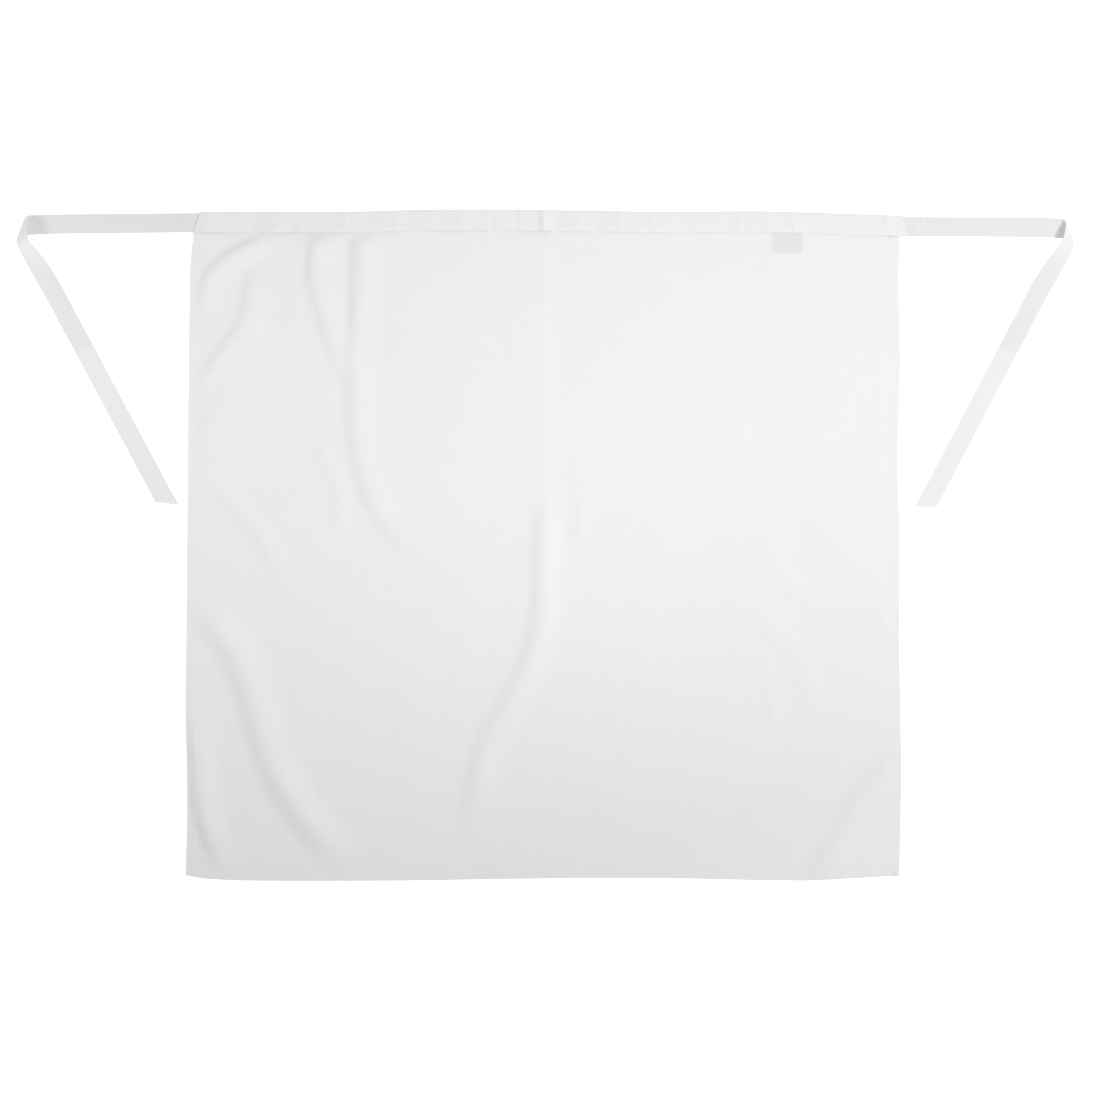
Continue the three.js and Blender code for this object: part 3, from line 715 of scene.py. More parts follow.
def delete_where(piece, chosen):
    """Deletes the chosen vertices of a flat grid in edit mode."""
    for part in (piece.data.polygons, piece.data.edges):
        part.foreach_set("select", np.zeros(len(part), bool))
    piece.data.vertices.foreach_set("select", chosen)
    bpy.ops.object.mode_set(mode="EDIT")
    bpy.ops.mesh.select_mode(type="VERT")
    bpy.ops.mesh.delete(type="VERT")
    bpy.ops.object.mode_set(mode="OBJECT")


def give_thickness(piece, thickness, offset):
    """Makes the sheet a wall: Solidify, with each vertex's share of the greatest thickness."""
    greatest = float(thickness.max())
    group = piece.vertex_groups.new(name="thickness")
    for index, share in enumerate(thickness / greatest):
        group.add([index], float(share), "REPLACE")
    wall = piece.modifiers.new("Wall", "SOLIDIFY")
    wall.thickness = greatest
    wall.offset = offset
    wall.vertex_group = group.name
    bpy.ops.object.modifier_apply(modifier=wall.name)
    piece.vertex_groups.clear()


def round_rim(piece, radius):
    """Rounds the cut edges of a wall of cloth."""
    bevel = piece.modifiers.new("Rim", "BEVEL")
    bevel.width = radius
    bevel.segments = RIM_SEGMENTS
    bevel.limit_method = "ANGLE"
    bevel.angle_limit = RIM_ANGLE
    bevel.use_clamp_overlap = True
    bpy.ops.object.modifier_apply(modifier=bevel.name)


def make_wall(piece, points, across, along, thickness, offset, rim):
    """Turns a flat grid into a wall of cloth with its form, UV map, thickness and rim."""
    move_points(piece, points)
    set_metric_uv(piece, across, along)
    give_thickness(piece, np.broadcast_to(thickness, len(points)), offset)
    round_rim(piece, rim)


def make_active(piece):
    """Makes the piece the one that the operators work on."""
    bpy.ops.object.select_all(action="DESELECT")
    piece.select_set(True)
    bpy.context.view_layer.objects.active = piece


def finish_piece(piece, material, slot, *nodes):
    """Smooths a piece, dresses it and ties it to the frame."""
    make_active(piece)
    bpy.ops.object.shade_smooth()
    piece.data.materials.clear()
    piece.data.materials.append(material)
    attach(piece, BODY)
    if nodes:
        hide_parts(*nodes)


def thread_tubes(name, paths, ups, radius):
    """Closed round threads along equally long paths, joined as one mesh.

    paths holds the points of each thread and ups the direction that faces away from the cloth.
    """
    sides = THREAD_SIDES
    paths = np.asarray(paths, float)
    ups = np.asarray(ups, float)[:, None, :]
    count, steps, _ = paths.shape
    ahead = np.gradient(paths, axis=1)
    ahead /= np.linalg.norm(ahead, axis=2, keepdims=True)
    side = np.cross(ahead, ups)
    side /= np.linalg.norm(side, axis=2, keepdims=True)
    away = np.cross(side, ahead)
    turn = 2 * np.pi * np.arange(sides) / sides
    ring = side[:, :, None] * np.cos(turn)[:, None] + away[:, :, None] * np.sin(turn)[:, None]
    points = (paths[:, :, None] + radius * ring).reshape(-1, 3)
    first = np.arange(count)[:, None, None] * steps * sides
    along = np.arange(steps - 1)[None, :, None] * sides
    around = np.arange(sides)[None, None, :]
    a = (first + along + around).ravel()
    b = (first + along + (around + 1) % sides).ravel()
    quads = np.column_stack([a, b, b + sides, a + sides])
    base = np.arange(count) * steps * sides
    start_caps = base[:, None] + np.arange(sides)[::-1]
    end_caps = base[:, None] + (steps - 1) * sides + np.arange(sides)
    faces = [*quads.tolist(), *start_caps.tolist(), *end_caps.tolist()]
    mesh = bpy.data.meshes.new(name)
    mesh.from_pydata(points.tolist(), [], faces)
    piece = bpy.data.objects.new(name, mesh)
    bpy.context.collection.objects.link(piece)
    make_active(piece)
    bpy.ops.object.mode_set(mode="EDIT")
    bpy.ops.mesh.select_all(action="SELECT")
    bpy.ops.mesh.normals_make_consistent(inside=False)
    bpy.ops.object.mode_set(mode="OBJECT")
    return piece


def stitch_paths(line, ups, sizes):
    """Short arched threads, one after the other along a line on the cloth."""
    begun = lengths_along(line)
    count = int(begun[-1] / sizes.pitch)
    starts = (np.arange(count) + 0.5) * sizes.pitch - sizes.length / 2

    def at(distance, values):
        return np.column_stack([np.interp(distance, begun, values[:, k]) for k in range(3)])

    facing = at(starts + sizes.length / 2, ups)
    points = [
        at(starts + share * sizes.length, line) + high * sizes.thread * facing
        for share, high in STITCH_ARCH
    ]
    return np.stack(points, axis=1), facing


def upward(count):
    return np.tile([0.0, 0.0, 1.0], (count, 1))


class Shading:
    """A material's or a group's nodes, added and linked by short calls."""

    def __init__(self, tree):
        self.tree = tree

    def wire(self, node, inputs):
        """Gives each named or numbered input of a node its value, or a link from a socket."""
        for name, value in inputs.items():
            if isinstance(value, bpy.types.NodeSocket):
                self.tree.links.new(value, node.inputs[name])
            else:
                node.inputs[name].default_value = value
        return node

    def add(self, kind, inputs=(), **settings):
        node = self.tree.nodes.new(kind)
        for name, value in settings.items():
            setattr(node, name, value)
        return self.wire(node, dict(inputs))

    def math(self, operation, *values):
        return self.add("ShaderNodeMath", dict(enumerate(values)), operation=operation).outputs[0]

    def split(self, vector):
        return self.add("ShaderNodeSeparateXYZ", {0: vector}).outputs

    def scaled(self, vector, scale):
        inputs = {"Vector": vector, "Scale": scale}
        return self.add("ShaderNodeMapping", inputs, vector_type="POINT").outputs["Vector"]

    def noise(self, vector, scale, detail):
        inputs = {"Vector": vector, "Scale": scale, "Detail": detail}
        return self.add("ShaderNodeTexNoise", inputs).outputs["Fac"]

    def mix(self, factor, a, b, blend="MIX"):
        inputs = {"Factor": factor, "A": a, "B": b}
        node = self.add("ShaderNodeMix", inputs, data_type="RGBA", blend_type=blend)
        return node.outputs["Result"]

    def bump(self, height, strength, distance):
        inputs = {"Strength": strength, "Distance": distance, "Height": height}
        return self.add("ShaderNodeBump", inputs).outputs["Normal"]


def shared_group(name, numbers, outputs, fill):
    """The node group of that name, made once, with a vector and numbers in and numbers out."""
    if name in bpy.data.node_groups:
        return bpy.data.node_groups[name]
    tree = bpy.data.node_groups.new(name, "ShaderNodeTree")
    sockets = tree.interface
    sockets.new_socket(name="Vector", in_out="INPUT", socket_type="NodeSocketVector")
    for label, value in numbers.items():
        socket = sockets.new_socket(name=label, in_out="INPUT", socket_type="NodeSocketFloat")
        socket.default_value = value
    for label in outputs:
        sockets.new_socket(name=label, in_out="OUTPUT", socket_type="NodeSocketFloat")
    nodes = Shading(tree)
    given = nodes.add("NodeGroupInput").outputs
    nodes.add("NodeGroupOutput", fill(nodes, given))
    return tree


def fill_weave(nodes, given):
    """Plain weave: threads over and under each other, some of them thicker."""
    x, y, _ = nodes.split(given["Vector"])
    turns = nodes.math("DIVIDE", 2 * math.pi, given["Thread Pair"])
    warp = nodes.math("SINE", nodes.math("MULTIPLY", x, turns))
    weft = nodes.math("SINE", nodes.math("MULTIPLY", y, turns))
    weave = nodes.math("MULTIPLY_ADD", nodes.math("MULTIPLY", warp, weft), 0.5, 0.5)
    long, short = SLUB_SCALES
    weft_slub = nodes.noise(nodes.scaled(given["Vector"], (long, short, 1)), 1.0, 1.0)
    warp_slub = nodes.noise(nodes.scaled(given["Vector"], (short, long, 1)), 1.0, 1.0)
    slub = nodes.math("SUBTRACT", nodes.math("ADD", weft_slub, warp_slub), 1.0)
    uneven = nodes.math("MULTIPLY", slub, given["Slub"])
    return {
        "Height": nodes.math("ADD", weave, uneven),
        "Tone": nodes.math("ADD", 0.5, uneven),
    }


def fill_patches(nodes, given):
    """Soft light and dark patches of two sizes, from 0 to 1."""
    wide = nodes.noise(given["Vector"], given["Patch"], 2.0)
    small_scale = nodes.math("MULTIPLY", given["Patch"], SMALL_PATCHES)
    small = nodes.noise(given["Vector"], small_scale, 2.0)
    wide_part = nodes.math("MULTIPLY", wide, 1 - SMALL_PART)
    return {"Mask": nodes.math("MULTIPLY_ADD", small, SMALL_PART, wide_part)}


def darker(colour, share):
    return (*(channel * share for channel in colour), 1.0)


def soft_box(nodes, vector, low, high, softness):
    """A mask that is 1 inside a box seen from above and fades out over softness metres."""
    masks = []
    for axis, place in enumerate(nodes.split(vector)[:2]):
        middle = (low[axis] + high[axis]) / 2
        half = (high[axis] - low[axis]) / 2
        away = nodes.math("ABSOLUTE", nodes.math("SUBTRACT", place, middle))
        inputs = {
            "Value": away,
            "From Min": half - softness,
            "From Max": half + softness,
            "To Min": 1.0,
            "To Max": 0.0,
        }
        ramp = nodes.add("ShaderNodeMapRange", inputs, interpolation_type="SMOOTHSTEP")
        masks.append(ramp.outputs["Result"])
    return nodes.math("MULTIPLY", *masks)


def new_material(name):
    """A material, its nodes and its shader."""
    material = bpy.data.materials.new(name)
    material.use_nodes = True
    return material, Shading(material.node_tree), material.node_tree.nodes["Principled BSDF"]


def cloth_material(name, colour, space, kind, painted_shade_and_marks=()):
    """White woven cloth. space is Object or UV, and the last argument lists soft boxes that darken
    it: painted shade such as the label's shadow through the cloth, real marks and the tape's darker
    stretch.
    """
    material, nodes, shader = new_material(name)
    place = nodes.add("ShaderNodeTexCoord").outputs[space]
    weave_tree = shared_group(
        "Plain Weave", {"Thread Pair": 0.0009, "Slub": 0.5}, ("Height", "Tone"), fill_weave)
    patch_tree = shared_group("Soft Patches", {"Patch": 9.0}, ("Mask",), fill_patches)
    weave_inputs = {"Vector": place, "Thread Pair": kind.thread_pair}
    weave = nodes.add("ShaderNodeGroup", weave_inputs, node_tree=weave_tree).outputs
    patches = nodes.add("ShaderNodeGroup", {"Vector": place}, node_tree=patch_tree).outputs
    darkest, lightest = (darker(colour, share) for share in PATCH_TONES)
    tone = nodes.mix(patches["Mask"], darkest, lightest)
    yarn = nodes.math("MULTIPLY_ADD", weave["Tone"], YARN_SPREAD, YARN_TONE)
    tone = nodes.mix(1.0, tone, yarn, "MULTIPLY")
    # Each box darkens the colour: the label's painted shadow through the cloth, real marks and the
    # tape's darker stretch.
    for low, high, softness, share in painted_shade_and_marks:
        inside = soft_box(nodes, place, low, high, softness)
        tone = nodes.mix(inside, tone, (share, share, share, 1.0), "MULTIPLY")
    rough = nodes.math(
        "MULTIPLY_ADD", weave["Height"], ROUGHNESS_SPREAD, kind.roughness - ROUGHNESS_SPREAD / 2)
    nodes.wire(shader, {
        "Base Color": tone,
        "Roughness": rough,
        "Normal": nodes.bump(weave["Height"], *WEAVE_BUMP),
        "Sheen Weight": kind.sheen,
        "Sheen Roughness": 0.5,
        "Specular IOR Level": 0.25,
    })
    return material


def thread_material(colour):
    """White sewing thread, a little brighter where its fibres catch the light."""
    material, nodes, shader = new_material("Sewing Thread")
    place = nodes.add("ShaderNodeTexCoord").outputs["Object"]
    fibres = nodes.noise(place, FIBRE_SCALE, 1.0)
    darkest, lightest = (darker(colour, share) for share in THREAD_TONES)
    nodes.wire(shader, {
        "Base Color": nodes.mix(fibres, darkest, lightest),
        "Roughness": nodes.math("MULTIPLY_ADD", fibres, *THREAD_ROUGHNESS),
        "Normal": nodes.bump(fibres, *FIBRE_BUMP),
        "Sheen Weight": 0.2,
    })
    return material


def add_soft_light(name, place, aim, width, power):
    """A round area light at a place, aimed at a point and unseen by the camera."""
    bpy.ops.object.light_add(type="AREA", location=place)
    light = bpy.context.object
    light.name = name + "_light"
    light.data.shape = "DISK"
    light.data.size = width
    light.data.energy = power
    light.data.color = LIGHT_COLOUR
    light.visible_camera = False
    direction = Vector(aim) - Vector(place)
    light.rotation_euler = direction.to_track_quat("-Z", "Y").to_euler()


class APRON_OT_add_stage(bpy.types.Operator):
    """Add the pale floor, the soft lights and the camera straight above"""

    bl_idname = "apron.add_stage"
    bl_label = "Add Stage"

    def execute(self, context):
        studio = context.scene.apron_studio
        colours = context.scene.apron_colours
        view = context.scene.view_settings
        view.view_transform = "Standard"
        view.look = "None"

        bpy.ops.object.select_all(action="DESELECT")
        bpy.ops.mesh.primitive_plane_add(size=FLOOR_SIDE, location=(0, 0, 0))
        floor = context.object
        floor.name = "floor"
        move_points(floor, mesh_points(floor) - (0, 0, FLOOR_DROP))
        material, nodes, shader = new_material("Pale Floor")
        nodes.wire(shader, {
            "Base Color": (*colours.floor, 1),
            "Roughness": FLOOR_ROUGHNESS,
            "Emission Color": WHITE,
            "Emission Strength": studio.floor_glow,
        })
        floor.data.materials.append(material)

        world = bpy.data.worlds.new("Studio")
        world.use_nodes = True
        background = world.node_tree.nodes["Background"]
        background.inputs["Color"].default_value = ROOM_COLOUR
        background.inputs["Strength"].default_value = studio.room_light
        context.scene.world = world
        for light in LIGHTS:
            add_soft_light(*light, getattr(studio, light.name + "_power"))

        frame_width = PHOTO_PIXELS / PIXELS_PER_METRE
        middle_x = (PHOTO_PIXELS / 2 - APRON_MIDDLE_X_PX) / PIXELS_PER_METRE
        middle_y = (APRON_MIDDLE_Y_PX - PHOTO_PIXELS / 2) / PIXELS_PER_METRE
        bpy.ops.object.camera_add(
            location=(middle_x, middle_y, studio.camera_height), rotation=(0, 0, 0))
        camera = context.object
        camera.data.sensor_width = SENSOR
        camera.data.lens = SENSOR * studio.camera_height / frame_width
        context.scene.camera = camera
        return {"FINISHED"}


class APRON_OT_add_panel(bpy.types.Operator):
    """Add the panel with its hems, folds and creases"""

    bl_idname = "apron.add_panel"
    bl_label = "Add Panel"

    def execute(self, context):
        scene = context.scene
        cloth = scene.apron_cloth
        panel = Panel(scene)
        tongue = -cloth.tongue * np.array(TONGUE_LINES)
        across_lines = grid_lines(PANEL_SPACING) - PANEL_SPACING[-1][0] / 2
        down_lines = np.concatenate([tongue, grid_lines(PANEL_DOWN_SPACING)])
        across_lines *= cloth.width / (across_lines[-1] - across_lines[0])
        down_lines[len(tongue):] *= panel.drop / down_lines[-1]
        columns, rows = len(across_lines) - 1, len(down_lines) - 1
        piece = flat_grid("apron_panel", columns, rows)
        column, row = grid_indices(piece, columns, rows)
        tie_seam = scene.apron_tie.seam + cloth.cloth
        tongue_left = BAND_LOW[0] + tie_seam
        tongue_right = BAND_HIGH[0] - tie_seam - scene.apron_band.slant
        outside = (across_lines[column] < tongue_left) | (across_lines[column] > tongue_right)
        delete_where(piece, (row < len(tongue)) & outside)
        column, row = grid_indices(piece, columns, rows)
        across, down = across_lines[column], down_lines[row]
        points, thickness = panel.surface(across, down)
        make_wall(piece, points, across, -down, thickness, UNDERSIDE, CLOTH_RIM)
        # The label's painted shadow through the cloth comes first, then the panel's real marks.
        painted_shade_and_marks = [(LABEL_LOW, LABEL_HIGH, LABEL_SHADOW_SOFTNESS, LABEL_SHADOW_TONE)]
        for share, fall, half, kept in MARKS:
            x = panel.left + share * cloth.width
            y = panel.top - panel.band_height - fall * panel.drop
            painted_shade_and_marks.append(((x - half, y - half), (x + half, y + half), half * MARK_SOFTNESS, kept))
        material = cloth_material(
            "Panel Cloth", scene.apron_colours.cloth, "Object", PLAIN_CLOTH, painted_shade_and_marks)
        finish_piece(piece, material, "panel_cloth", "panel")
        return {"FINISHED"}


class Waistband:
    """The band's form: one strip up the front, over the fold and down the back."""

    def __init__(self, scene):
        self.sizes = scene.apron_band
        self.panel = Panel(scene)

    def front(self, x, down):
        """How far the front stands off the plain band at a place."""
        share = along_band(x)
        off = np.zeros(len(x))
        for at, height, left_reach, right_reach in BAND_CREASES:
            away = (share - at) * BAND_LENGTH
            off += height * ridge(away, np.where(away < 0, left_reach, right_reach))
        inset = self.sizes.seam_inset
        from_seam = (self.sizes.height - inset - down) / inset
        seam = hump(from_seam * BAND_SEAM_NARROWNESS)
        fringe = hump(from_seam * BAND_PUCKER_NARROWNESS)
        stretched = np.column_stack([x, -down]) * BAND_STRETCH
        puckers = (BAND_PUCKER.height / 2 + ripple_at(stretched, BAND_PUCKER)) * (1 + fringe) / 2
        waves = BAND_WAVE.height / 2 + ripple_at(stretched, BAND_WAVE)
        edge = smooth_step(1 - (self.sizes.height - down) / (BAND_RIM_REACH * inset))
        tightening = smooth_step((share - TIGHTENING_START) / TIGHTENING_LENGTH)
        tight = LOOSE_SEAM + (1 - LOOSE_SEAM) * tightening
        sunk = self.sizes.seam_depth * (seam + edge) * tight
        held = smooth_step(np.minimum(share, 1 - share) / BAND_END)
        return (off + puckers + waves) * held - sunk

    def points(self, x, down, up):
        """Where a point of the band lies, so far below its upper edge and so high."""
        slant = self.sizes.slant * (1 - down / self.sizes.height)
        shifted = x + slant * (1 - 2 * along_band(x))
        return np.column_stack([shifted, self.panel.band_top(shifted) - down, up])


class APRON_OT_add_waistband(bpy.types.Operator):
    """Add the folded waistband with its puckers and creases"""

    bl_idname = "apron.add_waistband"
    bl_label = "Add Waistband"

    def execute(self, context):
        band = Waistband(context.scene)
        sizes = context.scene.apron_band
        columns = math.ceil(BAND_LENGTH / BAND_COLUMN)
        rows = BAND_FRONT_ROWS + BAND_FOLD_ROWS + BAND_BACK_ROWS
        piece = flat_grid("apron_waistband", columns, rows)
        column, row = grid_indices(piece, columns, rows)
        x = BAND_LOW[0] + BAND_LENGTH * column / columns
        step = rows - row
        radius = sizes.thickness / 2
        on_front = np.clip(step / BAND_FRONT_ROWS, 0, 1)
        over = np.clip((step - BAND_FRONT_ROWS) / BAND_FOLD_ROWS, 0, 1)
        on_back = np.clip((step - BAND_FRONT_ROWS - BAND_FOLD_ROWS) / BAND_BACK_ROWS, 0, 1)
        front_down = sizes.height + (radius - sizes.height) * on_front
        back_down = radius + (sizes.height - radius) * on_back
        turn = np.pi * over
        down = np.where(on_back > 0, back_down, front_down)
        in_fold = (over > 0) & (over < 1)
        down = np.where(in_fold, radius - radius * np.sin(turn), down)
        up = np.where(over >= 1, 0, np.where(over > 0, radius + radius * np.cos(turn), 2 * radius))
        share_front = np.where(over > 0, np.where(over < 1, (1 + np.cos(turn)) / 2, 0), 1)
        points = band.points(x, down, up + share_front * band.front(x, down))
        along = step * sizes.height / BAND_FRONT_ROWS
        make_wall(piece, points, x, along, sizes.cloth, UNDERSIDE, BAND_RIM)
        material = cloth_material(
            "Band Cloth", context.scene.apron_colours.band, "Object", PLAIN_CLOTH)
        finish_piece(piece, material, "band_cloth", "waistband")
        return {"FINISHED"}


def tie_edges(scene, tie):
    """The tie's inner and outer edge, from its end inside the band to its tip."""
    sizes = scene.apron_tie
    panel = Panel(scene)
    side = tie.side
    band_end = BAND_LOW[0] if side < 0 else BAND_HIGH[0]
    upper = panel.band_top(band_end) - TIE_BELOW_TOP
    inner = []
    outer = []

    def add(out, down, up):
        inner.append((band_end + side * out, upper - down, up))
        outer.append((band_end + side * out, upper - down - sizes.width, up))

    seam_steps = math.ceil(sizes.seam / TIE_STEP)
    for share in np.linspace(0, 1, seam_steps, endpoint=False):
        out = -sizes.seam * (1 - share)
        drop = panel.band_top(band_end) - panel.band_top(band_end + side * out)
        add(out, drop, TIE_RISE)
    settle_steps = math.ceil(sizes.settle / TIE_STEP)
    for share in np.linspace(0, 1, settle_steps, endpoint=False):
        add(share * sizes.settle, 0, TIE_RISE * (1 - smooth_step(share)))
    corner_start = tie.run + TIE_CORNER_INNER[0][0] * sizes.width
    run_steps = math.ceil((corner_start - sizes.settle) / TIE_STEP)
    for share in np.linspace(0, 1, run_steps, endpoint=False):
        out = sizes.settle + (corner_start - sizes.settle) * share
        add(out, tie.sink * share, 0)
    corners = []
    for rows, edge in ((TIE_CORNER_INNER, inner), (TIE_CORNER_OUTER, outer)):
        curve = smooth_path(np.array(rows) * sizes.width, TIE_CORNER_STEPS)
        curve = curve * (side, -1, 1) + (band_end + side * tie.run, upper - tie.sink, 0)
        corners.append(curve)
        edge.extend(map(tuple, curve))
    lean = math.radians(tie.lean)
    heading = np.array([-side * math.sin(lean), -math.cos(lean), 0])
    fall_steps = math.ceil(tie.fall / TIE_STEP)
    shares = np.arange(1, fall_steps + 1) / fall_steps
    inner.extend(corners[0][-1] + share * tie.fall * heading for share in shares)
    outer.extend(corners[1][-1] + share * (tie.fall - tie.cut) * heading for share in shares)
    return np.array(inner), np.array(outer)


def frayed_threads(inner, outer, sizes, tape, seed):
    """Loose threads at a tie's cut end, most of them at its inner corner."""
    chance = random.Random(seed)
    heading = inner[-1] - inner[-2]
    heading /= np.linalg.norm(heading)
    across = outer[-1] - inner[-1]
    sideways = np.array([-heading[1], heading[0], 0])
    steps = np.linspace(0, 1, FRAY_POINTS)[:, None]
    paths = []
    for _ in range(sizes.frays):
        start = inner[-1] + across * chance.random() ** 2 - heading * tape.thickness
        start[2] = tape.thickness * chance.uniform(*FRAY_START)
        reach = sizes.fray_length * chance.uniform(*FRAY_REACH)
        end = start + heading * reach + sideways * reach * chance.uniform(*FRAY_SWAY)
        end[2] = sizes.thread * FRAY_TIP
        curl = sideways * reach * chance.uniform(*FRAY_CURL)
        paths.append(start + (end - start) * steps + curl * np.sin(np.pi * steps))
    return np.array(paths), upward(len(paths))


def tie_normals(inner, outer, share):
    """The tape's middle surface and its unit normal at a share across it."""
    middle = inner + (outer - inner) * share
    normal = np.cross(np.gradient(middle, axis=0), outer - inner)
    normal /= np.linalg.norm(normal, axis=1, keepdims=True)
    return middle, normal


class APRON_OT_add_ties(bpy.types.Operator):
    """Add the two tape ties"""

    bl_idname = "apron.add_ties"
    bl_label = "Add Ties"

    def execute(self, context):
        scene = context.scene
        sizes = scene.apron_tie
        # The tape's colour is a little darker from the last kink up to the band.
        darker_run = ((-1, TIE_KINKS[-1][0]), (1, 1), DARKER_RUN_SOFTNESS, DARKER_RUN_TONE)
        material = cloth_material(
            "Tie Tape", scene.apron_colours.tape, "UV", TAPE_CLOTH, [darker_run])
        for tie in TIES:
            inner, outer = tie_edges(scene, tie)
            rows = len(inner) - 1
            piece = flat_grid(tie.name, TIE_COLUMNS, rows)
            column, row = grid_indices(piece, TIE_COLUMNS, rows)
            share = column / TIE_COLUMNS
            places = inner[row] + (outer[row] - inner[row]) * share[:, None]
            from_edge = np.minimum(share, 1 - share) * sizes.width
            from_seam = (from_edge - sizes.seam_inset) / sizes.seam_inset
            pressed = TIE_SEAM_DEPTH * hump(SEAM_NARROWNESS * from_seam)
            thickness = sizes.thickness * (1 - pressed)
            length = lengths_along((inner + outer) / 2)
            from_tip = length[-1] - length[row]
            out = length[row] - sizes.seam
            flat = np.column_stack([share * sizes.width, length[row] + tie.side])
            lift = np.abs(ripple_at(flat, TAPE_RIPPLE))
            lift += np.abs(ripple_at(flat, TAPE_PUCKER)) * hump(out / sizes.settle)
            for at, height, reach in TIE_KINKS:
                lift += height * ridge(from_tip - at, reach)
            leaving = smooth_step(out / sizes.settle * TIE_LEAVING)
            places[:, 2] += sizes.thickness / 2 + lift * leaving
            make_wall(piece, places, share * sizes.width, from_tip, thickness, BOTH_SIDES, CLOTH_RIM)
            finish_piece(piece, material, "tie_tape", tie.node)
        return {"FINISHED"}


class APRON_OT_add_care_label(bpy.types.Operator):
    """Add the small blank label behind the panel"""

    bl_idname = "apron.add_care_label"
    bl_label = "Add Care Label"

    def execute(self, context):
        panel = Panel(context.scene)
        piece = flat_grid("blank_label", LABEL_COLUMNS, LABEL_ROWS)
        column, row = grid_indices(piece, LABEL_COLUMNS, LABEL_ROWS)
        x = LABEL_LOW[0] + LABEL_WIDTH * column / LABEL_COLUMNS
        top = panel.band_top(x) - panel.band_height - LABEL_GAP
        down = (LABEL_LENGTH - LABEL_SHORTER) * row / LABEL_ROWS
        up = LABEL_LIFT + ripple_at(np.column_stack([x, down]), LABEL_RIPPLE)
        points = np.column_stack([x, top - down, up])
        make_wall(piece, points, x, -down, LABEL_THICKNESS, UNDERSIDE, LABEL_RIM)
        material = cloth_material(
            "Label Ribbon", context.scene.apron_colours.label, "Object", RIBBON_CLOTH)
        finish_piece(piece, material, "label_ribbon", "care_label")
        return {"FINISHED"}


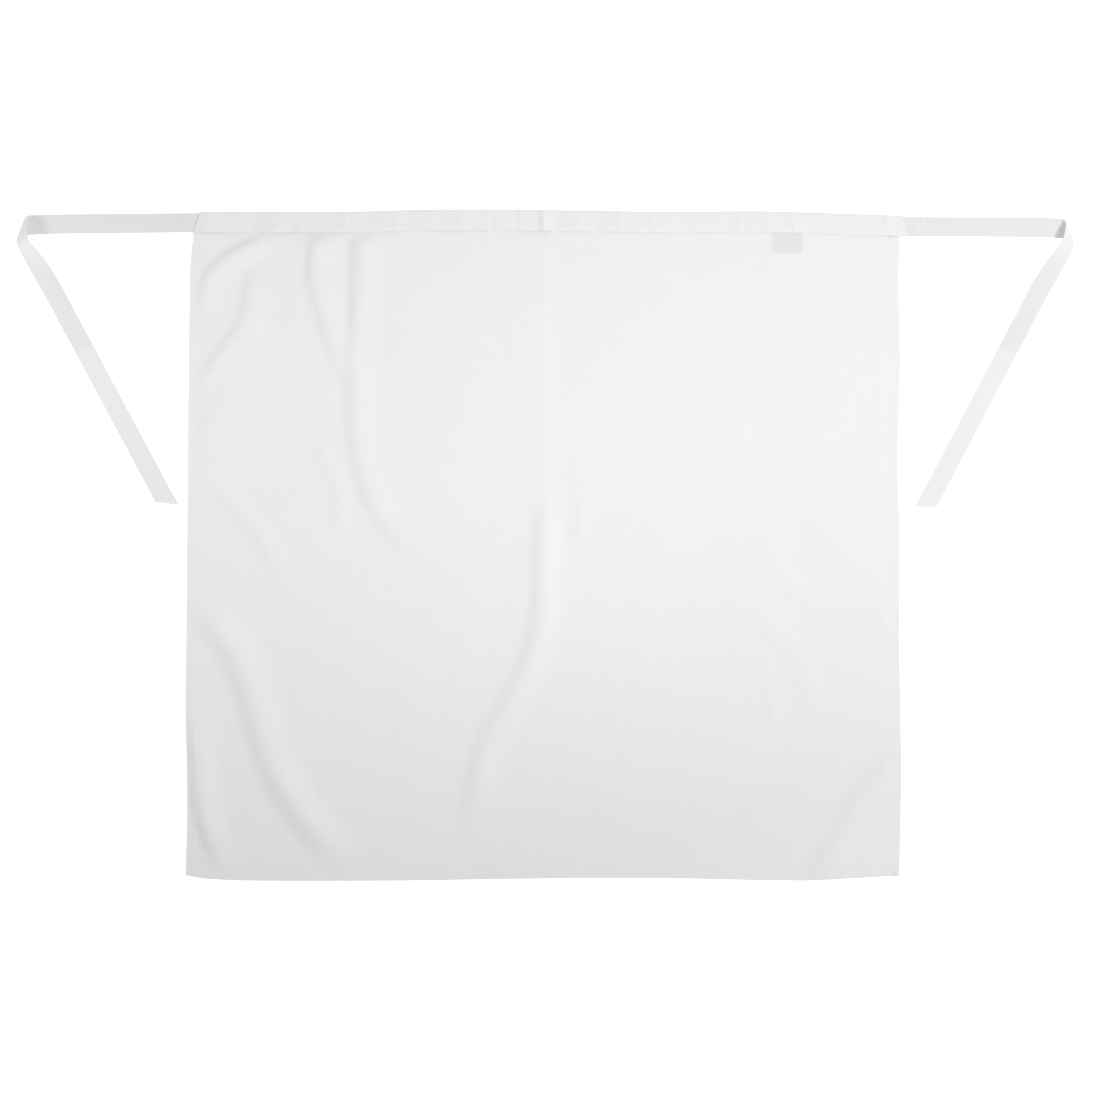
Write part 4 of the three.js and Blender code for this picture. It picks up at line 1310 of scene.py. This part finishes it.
class APRON_OT_add_stitches(bpy.types.Operator):
    """Add the stitch rows of the hems, the band and the ties"""

    bl_idname = "apron.add_stitches"
    bl_label = "Add Stitches"

    def execute(self, context):
        scene = context.scene
        sizes = scene.apron_stitch
        cloth = scene.apron_cloth
        band_sizes = scene.apron_band
        tape = scene.apron_tie
        thread = thread_material(scene.apron_colours.thread)
        panel = Panel(scene)

        inset_side = cloth.side_hem - cloth.seam_inset
        inset_bottom = cloth.bottom_hem - cloth.seam_inset
        margin = sizes.pitch / 3
        down = np.linspace(margin, panel.drop - margin, SEAM_POINTS)
        across = np.linspace(panel.left + margin, panel.right - margin, SEAM_POINTS)
        seams = (
            (np.full(SEAM_POINTS, panel.left + inset_side), down),
            (np.full(SEAM_POINTS, panel.right - inset_side), down),
            (across, np.full(SEAM_POINTS, panel.drop - inset_bottom)),
        )
        ups = upward(SEAM_POINTS)
        found = [stitch_paths(panel.surface(*seam)[0], ups, sizes) for seam in seams]
        piece = thread_tubes("hem_stitches", *map(np.concatenate, zip(*found)), sizes.thread)
        finish_piece(piece, thread, "panel_cloth")

        band = Waistband(scene)
        x = np.linspace(BAND_LOW[0] + sizes.pitch, BAND_HIGH[0] - sizes.pitch, SEAM_POINTS)
        below = np.full(SEAM_POINTS, band_sizes.height - band_sizes.seam_inset)
        row = band.points(x, below, band_sizes.thickness + band.front(x, below))
        piece = thread_tubes("band_stitches", *stitch_paths(row, ups, sizes), sizes.thread)
        finish_piece(piece, thread, "band_cloth")

        for tie in TIES:
            inner, outer = tie_edges(scene, tie)
            found = []
            for share in (tape.seam_inset / tape.width, 1 - tape.seam_inset / tape.width):
                middle, normal = tie_normals(inner, outer, share)
                middle[:, 2] += tape.thickness / 2
                for face in (-1, 1):
                    line = middle + face * normal * tape.thickness * STITCH_SEAT
                    paths, facing = stitch_paths(line, face * normal, sizes)
                    shown = facing[:, 2] > STITCH_SHOWS
                    found.append((paths[shown], facing[shown]))
            found.append(frayed_threads(inner, outer, sizes, tape, tie.side))
            joined = map(np.concatenate, zip(*found))
            piece = thread_tubes(tie.name + "_stitches", *joined, sizes.thread)
            finish_piece(piece, thread, "tie_tape")
        return {"FINISHED"}


class APRON_OT_declare_cloth(bpy.types.Operator):
    """Work out the panel's form and each tie's edges, without using them"""

    bl_idname = "apron.declare_cloth"
    bl_label = "Declare Cloth"

    def execute(self, context):
        scene = context.scene
        panel = Panel(scene)
        for tie in TIES:
            inner, outer = tie_edges(scene, tie)
        return {"FINISHED"}


class APRON_PT_tools(bpy.types.Panel):
    """Lists the apron's operators and sizes"""

    bl_idname = "APRON_PT_tools"
    bl_label = "Waist Apron"
    bl_space_type = "VIEW_3D"
    bl_region_type = "UI"
    bl_category = "Apron"

    def draw(self, context):
        for operator in OPERATORS:
            self.layout.operator(operator.bl_idname)
        for name, group in SETTINGS.items():
            box = self.layout.box()
            for setting in group.__annotations__:
                box.prop(getattr(context.scene, name), setting)


SETTINGS = {
    "apron_cloth": ApronClothSizes,
    "apron_band": ApronBandSizes,
    "apron_tie": ApronTieSizes,
    "apron_stitch": ApronStitchSizes,
    "apron_colours": ApronColours,
    "apron_studio": ApronStudio,
}
OPERATORS = (
    APRON_OT_add_stage,
    APRON_OT_add_panel,
    APRON_OT_add_waistband,
    APRON_OT_add_ties,
    APRON_OT_add_care_label,
    APRON_OT_add_stitches,
    APRON_OT_declare_cloth,
)


def register():
    for each in (*SETTINGS.values(), *OPERATORS, APRON_PT_tools):
        bpy.utils.register_class(each)
    for name, group in SETTINGS.items():
        setattr(bpy.types.Scene, name, PointerProperty(type=group))


def unregister():
    for name in SETTINGS:
        delattr(bpy.types.Scene, name)
    for each in (APRON_PT_tools, *reversed(OPERATORS), *reversed(SETTINGS.values())):
        bpy.utils.unregister_class(each)


def main():
    register()
    bpy.ops.apron.add_stage()
    bpy.ops.apron.add_panel()
    bpy.ops.apron.add_waistband()
    bpy.ops.apron.add_ties()
    bpy.ops.apron.add_care_label()
    bpy.ops.apron.add_stitches()
    bpy.ops.apron.declare_cloth()


if __name__ == "__main__":
    main()
